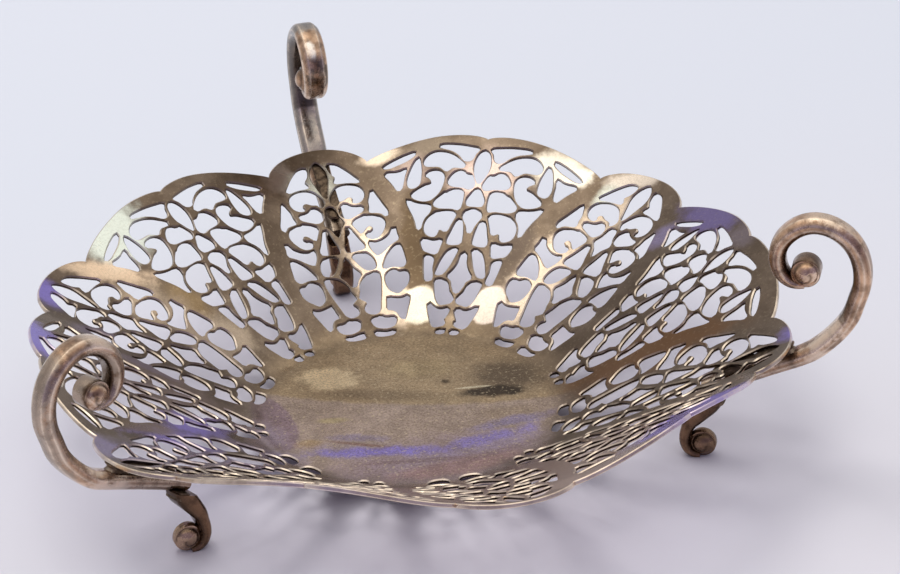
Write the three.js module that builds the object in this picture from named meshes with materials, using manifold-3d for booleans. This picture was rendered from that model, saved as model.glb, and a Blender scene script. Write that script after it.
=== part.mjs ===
// Pierced bonbon dish on three scroll feet, with three scroll handles.
// Millimetres, +Z up. The origin is the centre of the dish's flat floor, on its top face.
// The dish is one sheet: a flat floor and a wavy wall of petals and wide panels in turn.
// Each handle's strap is soldered beneath every second petal, and a foot beneath each strap.

import * as THREE from 'three';
import { mergeVertices } from 'three/addons/utils/BufferGeometryUtils.js';
import Module from 'manifold-3d';

const wasm = await Module();
wasm.setup();

// Driving sizes of the dish
const sheetThickness = 0.9;
const wellRadius = 30;        // edge of the flat floor
const bendWidth = 5;          // soft bend between the floor and the wall
const floorMargin = 1.4;      // plain metal between the floor's edge and the pierced work
const rimRadius = 74;         // at the notches between the panels
const wallRise = 22.9;        // height of the wall's middle line at the notches
const waveDepth = 2.7;        // petals dip and wide panels stand up by this at the rim
const petalReach = 4.8;       // how far a petal's tip stands out beyond the notches
const lobeReach = 1.7;        // bulge of each of a wide panel's two lobes
const cleftReach = 0.8;       // the cleft between those lobes, beyond the notches
const floorClearance = 3.5;   // underside of the dish above the table

// Driving sizes of the solder and the running gaps
const seatGap = 0.3;
const solderThickness = 0.5;
const solderLength = 2.6;
const solderWidth = 4.4;

// Driving sizes of a handle
const strapWidth = 5.3;
const strapThickness = 3.6;
const strapBevel = 1.2;
const strapLap = 16.6;        // how far the strap runs in beneath the petal from its tip
const scrollRadius = 11.1;
const knobRadius = 2.95;
const knobLength = 4.2;

// Driving sizes of a foot
const footWidth = 5;
const footThickness = 2.6;
const footBevel = 0.7;
const footSetBack = 0.2;      // the middle of the foot's seat, in from the strap's inner end
const footInset = 1.6;        // how far the foot's eye lies inside its seat
const footRollRadius = 3.3;   // outside of the curl that rests on the table
const footFlat = 0.35;        // depth of the flat there
const footBallRadius = 2.8;
const footBallLength = 2.6;

// Counts and plain ratios
const petals = 6;
const handles = 3;
const waveGrowth = 1.2;
const lobeFullness = 0.7;
const mostBevelShare = 0.7; // of half a bar's thickness
const buttonShares = [[0, 0.24], [0.43, 0.17], [0.71, 0]]; // of a knob's radius: out, and up
const lobeSteps = 5;
const wellStepsPerPanel = 5;
const knobSides = 14;

// The maker set each handle and foot a little off its petal's middle, by these degrees
const handleOffDegrees = [-1, -0.9, 0.4];
const footOffDegrees = [-1, 0.3, -1.4];

// Angles in radians
const turn = 2 * Math.PI;
const panelPitch = turn / (2 * petals);
const firstPetal = turn / 4;
const across = panelPitch / 3;

// The middle lines of the plain bands: share of a third of the pitch, share of the pierced height
const bandShares = [[1.8, 0.1], [1.84, 0.25], [1.76, 0.4], [1.52, 0.6], [1.17, 0.8], [0.96, 0.92]];
const bandFootShare = 1.8;
const notchShare = 0.88;

// Openings, in shares as the bands. A middle one is its right half, and the others come in pairs.
const petalMiddleShares = [
  [[0, 1.06], [0.135, 0.97], [0.08, 0.89], [0, 0.84]],
  [[0, 0.775], [0.2, 0.683], [0, 0.6]],
  [[0, 0.465], [0.27, 0.368], [0.08, 0.312], [0, 0.305]],
];
const petalPairShares = [
  [[0.2, 1.035], [0.46, 0.99], [0.69, 0.902], [0.27, 0.918]],
  [
    [0.08, 0.82], [0.21, 0.88], [0.43, 0.899], [0.66, 0.866],
    [0.7, 0.81], [0.55, 0.781], [0.48, 0.82], [0.21, 0.786],
  ],
  [[0.2, 0.742], [0.29, 0.79], [0.65, 0.747], [0.45, 0.706], [0.25, 0.707]],
  [[0.88, 0.828], [1.14, 0.68], [0.8, 0.712], [0.81, 0.775]],
  [
    [0.4, 0.655], [0.58, 0.689], [0.85, 0.683], [1.04, 0.64], [0.96, 0.585],
    [0.65, 0.562], [0.82, 0.61], [0.72, 0.637], [0.53, 0.605],
  ],
  [[0.22, 0.643], [0.3, 0.628], [0.52, 0.516], [0.09, 0.512]],
  [[0.67, 0.545], [0.98, 0.53], [1.26, 0.59], [1.33, 0.532], [1.05, 0.492], [0.8, 0.463], [0.7, 0.5]],
  [[0.2, 0.475], [0.4, 0.488], [0.62, 0.455], [0.69, 0.4], [0.5, 0.389], [0.3, 0.43]],
  [[0.93, 0.382], [1.05, 0.44], [1.32, 0.494], [1.47, 0.38]],
  [[0.94, 0.3], [1.03, 0.357], [1.48, 0.337], [1.52, 0.29], [1.25, 0.236], [1, 0.262]],
  [
    [0.2, 0.305], [0.4, 0.348], [0.72, 0.366], [0.74, 0.3],
    [0.57, 0.145], [0.13, 0.158], [0.25, 0.2], [0.06, 0.236],
  ],
  [[0.91, 0.208], [1.53, 0.207], [1.4, 0.1], [1.2, 0.1], [0.85, 0.15]],
  [[0.23, 0.1], [0.62, 0.115], [1.02, 0.095], [0.62, 0.053]],
  [[0.27, 0.03], [0.95, 0.027], [0.8, -0.006], [0.37, -0.008]],
];
const wideMiddleShares = [
  [[0, 0.955], [0.145, 0.885], [0.1, 0.825], [0, 0.787]],
  [[0, 0.757], [0.19, 0.672]],
  [[0, 0.65], [0.13, 0.64], [0.19, 0.61], [0.05, 0.535]],
  [[0, 0.42], [0.1, 0.37], [0.32, 0.302], [0.13, 0.247], [0, 0.222]],
];
const widePairShares = [
  [[0.12, 0.963], [0.82, 0.997], [0.6, 0.964], [0.35, 0.905], [0.22, 0.912]],
  [[0.37, 0.875], [0.6, 0.938], [0.9, 0.962], [1.09, 0.93], [1.06, 0.897], [0.8, 0.874], [0.64, 0.858]],
  [
    [0.73, 0.815], [0.83, 0.862], [1.05, 0.857], [0.94, 0.808], [1.17, 0.782],
    [1.34, 0.752], [1.15, 0.715], [0.93, 0.717], [0.77, 0.76],
  ],
  [[1.21, 0.948], [1.35, 0.9], [1.4, 0.805], [1.2, 0.803], [1.16, 0.86]],
  [[1.28, 0.984], [1.6, 0.968], [1.85, 0.94], [1.35, 0.958]],
  [[1.44, 0.905], [1.82, 0.902], [1.58, 0.797]],
  [[0.06, 0.787], [0.16, 0.833], [0.42, 0.85], [0.61, 0.8], [0.45, 0.771], [0.12, 0.76]],
  [[0.3, 0.738], [0.44, 0.753], [0.74, 0.738], [0.91, 0.698], [0.84, 0.672], [0.33, 0.648]],
  [[0.97, 0.68], [1.43, 0.722], [1.3, 0.64], [1.2, 0.565], [0.98, 0.645]],
  [
    [0.39, 0.615], [0.55, 0.643], [0.8, 0.64], [1.01, 0.605],
    [1.05, 0.56], [0.83, 0.515], [0.74, 0.547], [0.53, 0.541],
  ],
  [[0.21, 0.592], [0.3, 0.588], [0.48, 0.472], [0.15, 0.475]],
  [[0.63, 0.487], [1.11, 0.5], [1.05, 0.45], [0.8, 0.423], [0.7, 0.43]],
  [[0.2, 0.443], [0.35, 0.442], [0.52, 0.4], [0.69, 0.317], [0.45, 0.326]],
  [[0.8, 0.4], [1, 0.412], [0.97, 0.286], [0.8, 0.288]],
  [[0.06, 0.187], [0.24, 0.222], [0.36, 0.27], [0.68, 0.281], [0.62, 0.2], [0.5, 0.163]],
  [[0.13, 0.13], [0.45, 0.125], [0.82, 0.163], [0.76, 0.1], [0.6, 0.043], [0.2, 0.05], [0.27, 0.08]],
  [[0.13, 0.022], [0.44, 0.018], [0.36, -0.006], [0.14, -0.005]],
];

// A handle's scroll about its eye: degrees, share of the scroll's radius, then of thickness and width
const scrollShares = [
  [-83, 1.583, 1, 1], [-65, 1.327, 1, 1], [-47, 1.166, 1, 1], [-31, 1.047, 1, 1], [-10, 1.005, 1, 1],
  [11, 0.989, 1, 1], [30, 0.99, 1, 1], [49, 0.986, 1, 1], [68, 0.966, 1, 1], [85, 0.922, 1, 1],
  [103, 0.833, 1, 1], [126, 0.712, 0.98, 0.99], [147, 0.605, 0.95, 0.97], [169, 0.506, 0.9, 0.94],
  [192, 0.423, 0.82, 0.9], [217, 0.348, 0.7, 0.86], [241, 0.282, 0.58, 0.82], [265, 0.241, 0.48, 0.8],
];
const strapStationShares = [0, 0.25, 0.5, 0.75, 1];
const eyeOutShare = 0.083;
const eyeUpShares = [1.87, 1.72, 1.74]; // the handles stand to slightly different heights
const scrollStepsPerPoint = 1.6;

// A foot's stem from its seat down: shares of the inset, the roll's radius and the rise,
// then of thickness and width
const footStemShares = [
  [1, 0, 1.2, 1, 0.78], [1, 0, 1.03, 1, 0.78], [0.8, -0.085, 0.89, 1, 0.86],
  [0.6, -0.26, 0.78, 1, 0.94], [0.3, -0.585, 0.6, 1, 1], [0.1, -0.836, 0.445, 1, 1],
];
const footInsetShares = [1, 1, 1.9]; // one foot is bent further in
// A foot's curl about its eye: degrees, share of the roll's radius, then of thickness and width
const footCurlShares = [
  [134, 1.34, 0.95, 0.98], [156, 1.14, 0.9, 0.96], [180, 1.04, 0.82, 0.92],
  [208, 0.98, 0.72, 0.86], [236, 0.87, 0.62, 0.8], [263, 0.78, 0.55, 0.74],
];

// Heights and places that follow from the driving sizes
const piercedRadius = wellRadius + floorMargin;
const pierceSpan = rimRadius - piercedRadius;
const waveSpan = rimRadius - wellRadius;
const wallSlope = wallRise / (waveSpan - bendWidth / 2);
const petalTipRadius = rimRadius + petalReach;
const strapInnerRadius = petalTipRadius - strapLap;
const footSeatRadius = strapInnerRadius - footSetBack;
const rimSolderRadius = petalTipRadius - solderLength / 2;
const innerSolderRadius = strapInnerRadius + solderLength;
const tableHeight = -(sheetThickness + floorClearance);
const padDepth = sheetThickness + seatGap + solderThickness / 2;
const strapDepth = sheetThickness + 2 * seatGap + solderThickness + strapThickness / 2;
const footPadDepth = strapDepth + strapThickness / 2 + seatGap + solderThickness / 2;
const footTopDepth = footPadDepth + solderThickness / 2 + seatGap;

// The dish's top face at a radius and an angle from a petal's middle: height and slopes
function dishSurface(radius, angle) {
  const out = Math.max(0, radius - wellRadius);
  const bent = out < bendWidth ? (out * out) / (2 * bendWidth) : out - bendWidth / 2;
  const steep = Math.min(1, out / bendWidth);
  const grown = Math.pow(out / waveSpan, waveGrowth);
  const growing = (waveGrowth * Math.pow(out / waveSpan, waveGrowth - 1)) / waveSpan;
  const wave = Math.cos(petals * angle);
  return {
    height: wallSlope * bent - waveDepth * grown * wave,
    outward: wallSlope * steep - waveDepth * growing * wave,
    around: (waveDepth * grown * petals * Math.sin(petals * angle)) / Math.max(radius, wellRadius),
  };
}

// A point at a depth below the top face, square to it
function inSheet(radius, angle, depth) {
  const { height, outward, around } = dishSurface(radius, angle);
  const normal = new THREE.Vector3(-outward, -around, 1).normalize();
  const point = new THREE.Vector3(radius, 0, height).addScaledVector(normal, -depth);
  return point.applyAxisAngle(new THREE.Vector3(0, 0, 1), angle);
}

// Radius of the scalloped rim at an angle from a petal's middle, up to one pitch
function petalRim(share) {
  return rimRadius + petalReach * Math.pow(1 - share * share, lobeFullness);
}

function lobeRim(share) {
  const base = rimRadius + (cleftReach * (1 + share)) / 2;
  return base + lobeReach * Math.pow(1 - share * share, lobeFullness);
}

// Shares from -1 to 1, closer together at the ends, where a lobe turns fastest
function lobeStations() {
  return Array.from({ length: lobeSteps + 1 }, (_, i) => Math.sin((turn / 4) * ((2 * i) / lobeSteps - 1)));
}

// Polar points [radius, angle] of the rim from one band to the next, angles falling
function petalRimPoints() {
  const notch = notchShare * across;
  return lobeStations().map((share) => [petalRim(share), -share * notch]);
}

function wideRimPoints() {
  const notch = panelPitch - notchShare * across;
  const right = lobeStations().map((share) => [lobeRim(share), ((1 - share) / 2) * notch]);
  const left = lobeStations().map((share) => [lobeRim(-share), -((1 + share) / 2) * notch]);
  return [...right, ...left.slice(1)];
}

// Polar points of the band on a panel's side where angles are positive, from the rim inwards
function bandPoints(ofPetal) {
  const angleOf = (share) => (ofPetal ? share * across : panelPitch - share * across);
  const points = bandShares.map(([share, up]) => [piercedRadius + up * pierceSpan, angleOf(share)]);
  return [...points, [wellRadius, angleOf(bandFootShare)]].sort((p, q) => q[0] - p[0]);
}

function toPolar([share, up]) {
  return [piercedRadius + up * pierceSpan, share * across];
}

function mirrored(points) {
  return points.map(([radius, angle]) => [radius, -angle]).reverse();
}

// The openings of one panel, as closed polar outlines
function openings(middleShares, pairShares) {
  const middles = middleShares.map((half) => {
    const right = half.map(toPolar);
    return [...right, ...mirrored(right).filter(([, angle]) => angle !== 0)];
  });
  const pairs = pairShares.map((outline) => outline.map(toPolar));
  return [...middles, ...pairs, ...pairs.map(mirrored)];
}

function toPlan([radius, angle]) {
  return new THREE.Vector2(radius * Math.cos(angle), radius * Math.sin(angle));
}

function turned(a, b, c) {
  return (b.x - a.x) * (c.y - a.y) - (b.y - a.y) * (c.x - a.x);
}

// True where the circle through a, b and c holds d
function circleHolds(a, b, c, d) {
  const [ax, ay, bx, by, cx, cy] = [a.x - d.x, a.y - d.y, b.x - d.x, b.y - d.y, c.x - d.x, c.y - d.y];
  const sum =
    (ax * ax + ay * ay) * (bx * cy - cx * by) -
    (bx * bx + by * by) * (ax * cy - cx * ay) +
    (cx * cx + cy * cy) * (ax * by - bx * ay);
  return sum > Math.pow(sheetThickness, 4) * 1e-6;
}

// Swaps the diagonals of neighbouring triangles until they are as even as they can be
function evenOut(points, faces) {
  let swapped = true;
  while (swapped) {
    swapped = false;
    const owner = new Map();
    faces.forEach(([a, b, c], index) => {
      [`${a},${b}`, `${b},${c}`, `${c},${a}`].forEach((edge) => owner.set(edge, index));
    });
    const busy = new Set();
    faces.forEach((face, index) => {
      for (let k = 0; k < 3 && !busy.has(index); k += 1) {
        const [a, b, c] = [face[k], face[(k + 1) % 3], face[(k + 2) % 3]];
        const other = owner.get(`${b},${a}`);
        if (other === undefined || busy.has(other)) continue;
        const d = faces[other].find((corner) => corner !== a && corner !== b);
        const [pa, pb, pc, pd] = [points[a], points[b], points[c], points[d]];
        const convex = turned(pc, pa, pd) > 0 && turned(pd, pb, pc) > 0;
        if (!convex || !circleHolds(pa, pb, pc, pd)) continue;
        faces[index] = [c, a, d];
        faces[other] = [d, b, c];
        busy.add(index).add(other);
        swapped = true;
      }
    });
  }
  return faces;
}

// One panel of the sheet: its plan outline with holes, cut into triangles
function panelPlan(rimPoints, ofPetal, holes) {
  const side = bandPoints(ofPetal);
  const footAngle = side[side.length - 1][1];
  const floorArc = Array.from({ length: wellStepsPerPanel - 1 }, (_, i) => {
    return [wellRadius, footAngle * (1 - (2 * (i + 1)) / wellStepsPerPanel)];
  });
  const farSide = side.map(([radius, angle]) => [radius, -angle]);
  const outline = [...rimPoints, ...farSide, ...floorArc.reverse(), ...side.slice().reverse()];
  const loops = [outline, ...holes];
  const polar = loops.flat();
  const plan = polar.map(toPlan);
  const planLoops = loops.map((loop) => loop.map(toPlan));
  const cut = THREE.ShapeUtils.triangulateShape(planLoops[0], planLoops.slice(1));
  const faces = cut.map(([a, b, c]) => (turned(plan[a], plan[b], plan[c]) > 0 ? [a, b, c] : [a, c, b]));
  return { polar, faces: evenOut(plan, faces), rimPoints, holes };
}

// Triangles between two faces of the sheet along a loop or an open run of polar points
function wallBetween(run, closed, place, push) {
  const last = closed ? run.length : run.length - 1;
  for (let i = 0; i < last; i += 1) {
    const [from, to] = [run[i], run[(i + 1) % run.length]];
    const [a, b] = [place(from, 0), place(to, 0)];
    const [c, d] = [place(to, sheetThickness), place(from, sheetThickness)];
    push(a, b, c);
    push(a, c, d);
  }
}

function signedArea(loop) {
  return THREE.ShapeUtils.area(loop.map(toPlan));
}

function solidGeometry(triangles) {
  const geometry = new THREE.BufferGeometry();
  const numbers = triangles.flatMap((point) => point.toArray());
  geometry.setAttribute('position', new THREE.Float32BufferAttribute(numbers, 3));
  return weld(geometry);
}

// Merges shared corners and drops the triangles that this closes up
function weld(geometry) {
  const bare = geometry.clone();
  bare.deleteAttribute('normal');
  bare.deleteAttribute('uv');
  const merged = mergeVertices(bare, seatGap / 1000);
  const kept = [];
  for (let i = 0; i < merged.index.count; i += 3) {
    const [a, b, c] = [merged.index.getX(i), merged.index.getX(i + 1), merged.index.getX(i + 2)];
    if (a !== b && b !== c && c !== a) kept.push(a, b, c);
  }
  merged.setIndex(kept);
  return merged;
}

// The pierced sheet: twelve panels round a flat floor
function dishGeometry() {
  const petal = panelPlan(petalRimPoints(), true, openings(petalMiddleShares, petalPairShares));
  const wide = panelPlan(wideRimPoints(), false, openings(wideMiddleShares, widePairShares));
  const triangles = [];
  const push = (...corners) => triangles.push(...corners);
  const floorRing = [];
  for (let panel = 0; panel < 2 * petals; panel += 1) {
    const plan = panel % 2 === 0 ? petal : wide;
    const middle = panel * panelPitch;
    const place = ([radius, angle], depth) => inSheet(radius, middle + angle, depth);
    plan.faces.forEach((face) => {
      const corners = face.map((i) => plan.polar[i]);
      push(...corners.map((corner) => place(corner, 0)));
      push(...corners.reverse().map((corner) => place(corner, sheetThickness)));
    });
    wallBetween(plan.rimPoints, false, place, push);
    plan.holes.forEach((hole) => {
      const run = signedArea(hole) > 0 ? hole : hole.slice().reverse();
      wallBetween(run, true, place, push);
    });
    const footAngle = panel % 2 === 0 ? bandFootShare * across : panelPitch - bandFootShare * across;
    for (let i = 0; i < wellStepsPerPanel; i += 1) {
      floorRing.push([wellRadius, middle - footAngle * (1 - (2 * i) / wellStepsPerPanel)]);
    }
  }
  const floor = THREE.ShapeUtils.triangulateShape(floorRing.map(toPlan), []);
  floor.forEach(([a, b, c]) => {
    const corners = [a, b, c].map((i) => floorRing[i]);
    const upward = signedArea(corners) > 0 ? corners : corners.reverse();
    push(...upward.map(([radius, angle]) => inSheet(radius, angle, 0)));
    push(...upward.reverse().map(([radius, angle]) => inSheet(radius, angle, sheetThickness)));
  });
  return solidGeometry(triangles);
}

// A bar swept along a flat curve in the XZ plane, its width along Y, with bevelled edges
function sweptBar(curve, steps, bevel, sizeAt) {
  const rings = Array.from({ length: steps + 1 }, (_, i) => {
    const middle = curve.getPoint(i / steps);
    const along = curve.getTangent(i / steps);
    const side = new THREE.Vector3(-along.z, 0, along.x).normalize();
    const [thick, wide] = sizeAt(i / steps).map((size) => size / 2);
    const cut = Math.min(bevel, thick * mostBevelShare);
    const corners = [
      [thick, cut - wide], [thick, wide - cut], [thick - cut, wide], [cut - thick, wide],
      [-thick, wide - cut], [-thick, cut - wide], [cut - thick, -wide], [thick - cut, -wide],
    ];
    return corners.map(([up, out]) => middle.clone().addScaledVector(side, up).setY(out));
  });
  const triangles = [];
  const sides = rings[0].length;
  for (let i = 0; i < steps; i += 1) {
    for (let k = 0; k < sides; k += 1) {
      const next = (k + 1) % sides;
      triangles.push(rings[i][k], rings[i + 1][next], rings[i + 1][k]);
      triangles.push(rings[i][k], rings[i][next], rings[i + 1][next]);
    }
  }
  for (let k = 1; k < sides - 1; k += 1) {
    triangles.push(rings[0][0], rings[0][k + 1], rings[0][k]);
    triangles.push(rings[steps][0], rings[steps][k], rings[steps][k + 1]);
  }
  return facingOut(solidGeometry(triangles));
}

// Turns a closed surface outwards if its enclosed volume comes out negative
function facingOut(geometry) {
  const [corner, index] = [geometry.attributes.position, geometry.index];
  const [a, b, c] = [new THREE.Vector3(), new THREE.Vector3(), new THREE.Vector3()];
  let volume = 0;
  for (let i = 0; i < index.count; i += 3) {
    a.fromBufferAttribute(corner, index.getX(i));
    b.fromBufferAttribute(corner, index.getX(i + 1));
    c.fromBufferAttribute(corner, index.getX(i + 2));
    volume += a.dot(b.cross(c));
  }
  if (volume < 0) geometry.setIndex(Array.from(index.array).reverse());
  return geometry;
}

// A rolled knob about the Y axis, with a domed button on each end
function knobGeometry(radius, length) {
  const button = buttonShares.map(([out, stand]) => [out * radius, length / 2 + stand * radius]);
  const half = [...button, [radius, length / 2]];
  const lower = half.map(([out, end]) => new THREE.Vector2(out, -end));
  const upper = half.map(([out, end]) => new THREE.Vector2(out, end)).reverse();
  return facingOut(weld(new THREE.LatheGeometry([...lower, ...upper], knobSides)));
}

function toSolid(geometry) {
  const vertProperties = new Float32Array(geometry.attributes.position.array);
  const triVerts = new Uint32Array(geometry.index.array);
  return new wasm.Manifold(new wasm.Mesh({ numProp: 3, vertProperties, triVerts }));
}

function fromSolid(solid) {
  const mesh = solid.getMesh();
  const geometry = new THREE.BufferGeometry();
  const corners = new Float32Array(mesh.numVert * 3);
  for (let i = 0; i < mesh.numVert; i += 1) {
    corners.set(mesh.vertProperties.subarray(i * mesh.numProp, i * mesh.numProp + 3), i * 3);
  }
  geometry.setAttribute('position', new THREE.BufferAttribute(corners, 3));
  geometry.setIndex(Array.from(mesh.triVerts));
  return geometry;
}

// A point of a curl about its eye
function onCurl(eye, degrees, distance) {
  const angle = THREE.MathUtils.degToRad(degrees);
  return new THREE.Vector3(eye.x + distance * Math.cos(angle), 0, eye.z + distance * Math.sin(angle));
}

// A bar's thickness and width along its curve, from rows of their shares
function taper(rows, thickness, width) {
  return (share) => {
    const place = share * (rows.length - 1);
    const from = Math.min(Math.floor(place), rows.length - 2);
    const [thick, wide] = [0, 1].map((k) => THREE.MathUtils.lerp(rows[from][k], rows[from + 1][k], place - from));
    return [thickness * thick, width * wide];
  };
}

// A handle: a strap beneath the petal that rises past the rim and rolls up into a knob
function handleGeometry(eyeUpShare) {
  const strap = strapStationShares.map((share) => {
    return inSheet(THREE.MathUtils.lerp(strapInnerRadius, petalTipRadius, share), 0, strapDepth);
  });
  const tip = strap[strap.length - 1];
  const eye = new THREE.Vector3(tip.x + eyeOutShare * scrollRadius, 0, tip.z + eyeUpShare * scrollRadius);
  const scroll = scrollShares.map(([degrees, distance]) => onCurl(eye, degrees, distance * scrollRadius));
  const curve = new THREE.CatmullRomCurve3([...strap, ...scroll]);
  const rows = [...strap.map(() => [1, 1]), ...scrollShares.map((row) => row.slice(-2))];
  const sizeAt = taper(rows, strapThickness, strapWidth);
  const steps = Math.round(scrollStepsPerPoint * (strap.length + scroll.length));
  const bar = sweptBar(curve, steps, strapBevel, sizeAt);
  const knob = knobGeometry(knobRadius, knobLength).translate(eye.x, 0, eye.z);
  return fromSolid(toSolid(bar).add(toSolid(knob)));
}

// A slab that fills the space above a plane square to the petal at a depth
function slabAbove(radius, depth) {
  const size = footSeatRadius;
  const { outward } = dishSurface(radius, 0);
  const slab = new THREE.BoxGeometry(size, size, size).translate(0, 0, size / 2);
  const place = inSheet(radius, 0, depth);
  return weld(slab.rotateY(-Math.atan(outward)).translate(place.x, 0, place.z));
}

// A foot: a stem from beneath the strap that curls under a ball, with a flat on the table
function footGeometry(insetShare) {
  const seat = inSheet(footSeatRadius, 0, footTopDepth);
  const inset = footInset * insetShare;
  const eye = new THREE.Vector3(seat.x - inset, 0, tableHeight + footRollRadius - footFlat);
  const rise = seat.z - eye.z;
  const stem = footStemShares.map(([towardSeat, out, up]) => {
    return new THREE.Vector3(eye.x + towardSeat * inset + out * footRollRadius, 0, eye.z + up * rise);
  });
  const curl = footCurlShares.map(([degrees, distance]) => onCurl(eye, degrees, distance * footRollRadius));
  const curve = new THREE.CatmullRomCurve3([...stem, ...curl]);
  const rows = [...footStemShares, ...footCurlShares].map((row) => row.slice(-2));
  const sizeAt = taper(rows, footThickness, footWidth);
  const steps = Math.round(scrollStepsPerPoint * (stem.length + curl.length));
  const bar = sweptBar(curve, steps, footBevel, sizeAt);
  const ball = knobGeometry(footBallRadius, footBallLength).translate(eye.x, 0, eye.z);
  const table = weld(new THREE.BoxGeometry(footSeatRadius, footSeatRadius, footSeatRadius));
  table.translate(eye.x, 0, tableHeight - footSeatRadius / 2);
  const whole = toSolid(bar).add(toSolid(ball));
  return fromSolid(whole.subtract(toSolid(slabAbove(footSeatRadius, footTopDepth))).subtract(toSolid(table)));
}

// A pad of solder square to the petal at a radius and a depth
function padGeometry(radius, depth) {
  const place = inSheet(radius, 0, depth);
  const slope = Math.atan(dishSurface(radius, 0).outward);
  const half = new THREE.Vector3(Math.cos(slope), 0, Math.sin(slope)).multiplyScalar(solderLength / 2);
  const line = new THREE.LineCurve3(place.clone().sub(half), place.clone().add(half));
  return sweptBar(line, 1, solderThickness / 4, () => [solderThickness, solderWidth]);
}

const silver = { metalness: 1, roughness: 0.35 };
const materials = {
  dish: () => new THREE.MeshStandardMaterial({ color: 0x8a7a60, ...silver }),
  handle: () => new THREE.MeshStandardMaterial({ color: 0x8c7258, ...silver }),
  foot: () => new THREE.MeshStandardMaterial({ color: 0x6e5a45, ...silver }),
  solder: () => new THREE.MeshStandardMaterial({ color: 0xa09684, metalness: 1, roughness: 0.55 }),
};

function piece(name, geometry, material) {
  const mesh = new THREE.Mesh(geometry, material());
  mesh.name = name;
  return mesh;
}

const dish = new THREE.Group();
const petalRing = new THREE.Group();
petalRing.rotation.z = firstPetal;
petalRing.add(piece('pierced_dish', dishGeometry(), materials.dish));
dish.add(petalRing);

for (let i = 0; i < handles; i += 1) {
  const arm = new THREE.Group();
  const leg = new THREE.Group();
  arm.rotation.z = (i * turn) / handles + THREE.MathUtils.degToRad(handleOffDegrees[i]);
  leg.rotation.z = (i * turn) / handles + THREE.MathUtils.degToRad(footOffDegrees[i]);
  arm.add(piece(`scroll_handle_${i + 1}`, handleGeometry(eyeUpShares[i]), materials.handle));
  arm.add(piece(`rim_solder_${i + 1}`, padGeometry(rimSolderRadius, padDepth), materials.solder));
  arm.add(piece(`strap_solder_${i + 1}`, padGeometry(innerSolderRadius, padDepth), materials.solder));
  leg.add(piece(`scroll_foot_${i + 1}`, footGeometry(footInsetShares[i]), materials.foot));
  leg.add(piece(`foot_solder_${i + 1}`, padGeometry(footSeatRadius, footPadDepth), materials.solder));
  petalRing.add(arm, leg);
}

export default dish;
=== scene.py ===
"""Pierced bonbon dish with scroll handles and scroll feet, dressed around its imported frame.

Lengths are in millimetres until a mesh is made, which is in metres. Angles round the dish are
counted from the middle of the back petal, which lies along +Y.
"""

from __future__ import annotations

import logging
import math
from dataclasses import dataclass, field
from enum import Enum
from typing import Sequence

import bmesh
import bpy
from mathutils import Matrix, Vector, noise
from mathutils.geometry import delaunay_2d_cdt
from mathutils.kdtree import KDTree

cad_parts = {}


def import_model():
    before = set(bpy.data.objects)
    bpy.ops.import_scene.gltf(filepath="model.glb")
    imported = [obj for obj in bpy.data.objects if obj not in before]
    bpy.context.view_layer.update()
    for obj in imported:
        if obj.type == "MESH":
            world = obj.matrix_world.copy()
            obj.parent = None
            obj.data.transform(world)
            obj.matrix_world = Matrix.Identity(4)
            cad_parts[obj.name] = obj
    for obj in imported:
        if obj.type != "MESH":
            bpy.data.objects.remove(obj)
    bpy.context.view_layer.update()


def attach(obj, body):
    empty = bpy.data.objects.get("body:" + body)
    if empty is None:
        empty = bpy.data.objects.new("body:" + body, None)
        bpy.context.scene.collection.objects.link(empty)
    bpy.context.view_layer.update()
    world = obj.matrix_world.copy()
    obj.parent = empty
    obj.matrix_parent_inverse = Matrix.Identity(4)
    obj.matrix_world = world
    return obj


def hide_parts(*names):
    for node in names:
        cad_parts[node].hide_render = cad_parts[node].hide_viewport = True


LOG = logging.getLogger("bonbon_dish")
MM = 0.001
TURN = 2 * math.pi
PAINTS = ("ridge", "hollow", "roll")

Polar = tuple[float, float]
Outline = list[Polar]


class Wire:
    """A shader socket whose arithmetic adds Math nodes to its tree."""

    def __init__(self, tree: "NodeTree", socket: bpy.types.NodeSocket) -> None:
        """Keeps the socket.

        Args:
            tree: the tree that new nodes go into.
            socket: the output that this wire carries.
        """
        self.tree = tree
        self.socket = socket

    def __add__(self, other: "Wire | float") -> "Wire":
        """The sum."""
        return self.tree.maths("ADD", self, other)

    __radd__ = __add__

    def __sub__(self, other: "Wire | float") -> "Wire":
        """The difference."""
        return self.tree.maths("SUBTRACT", self, other)

    def __rsub__(self, other: "Wire | float") -> "Wire":
        """The difference, from the right."""
        return self.tree.maths("SUBTRACT", other, self)

    def __mul__(self, other: "Wire | float") -> "Wire":
        """The product."""
        return self.tree.maths("MULTIPLY", self, other)

    __rmul__ = __mul__


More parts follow.
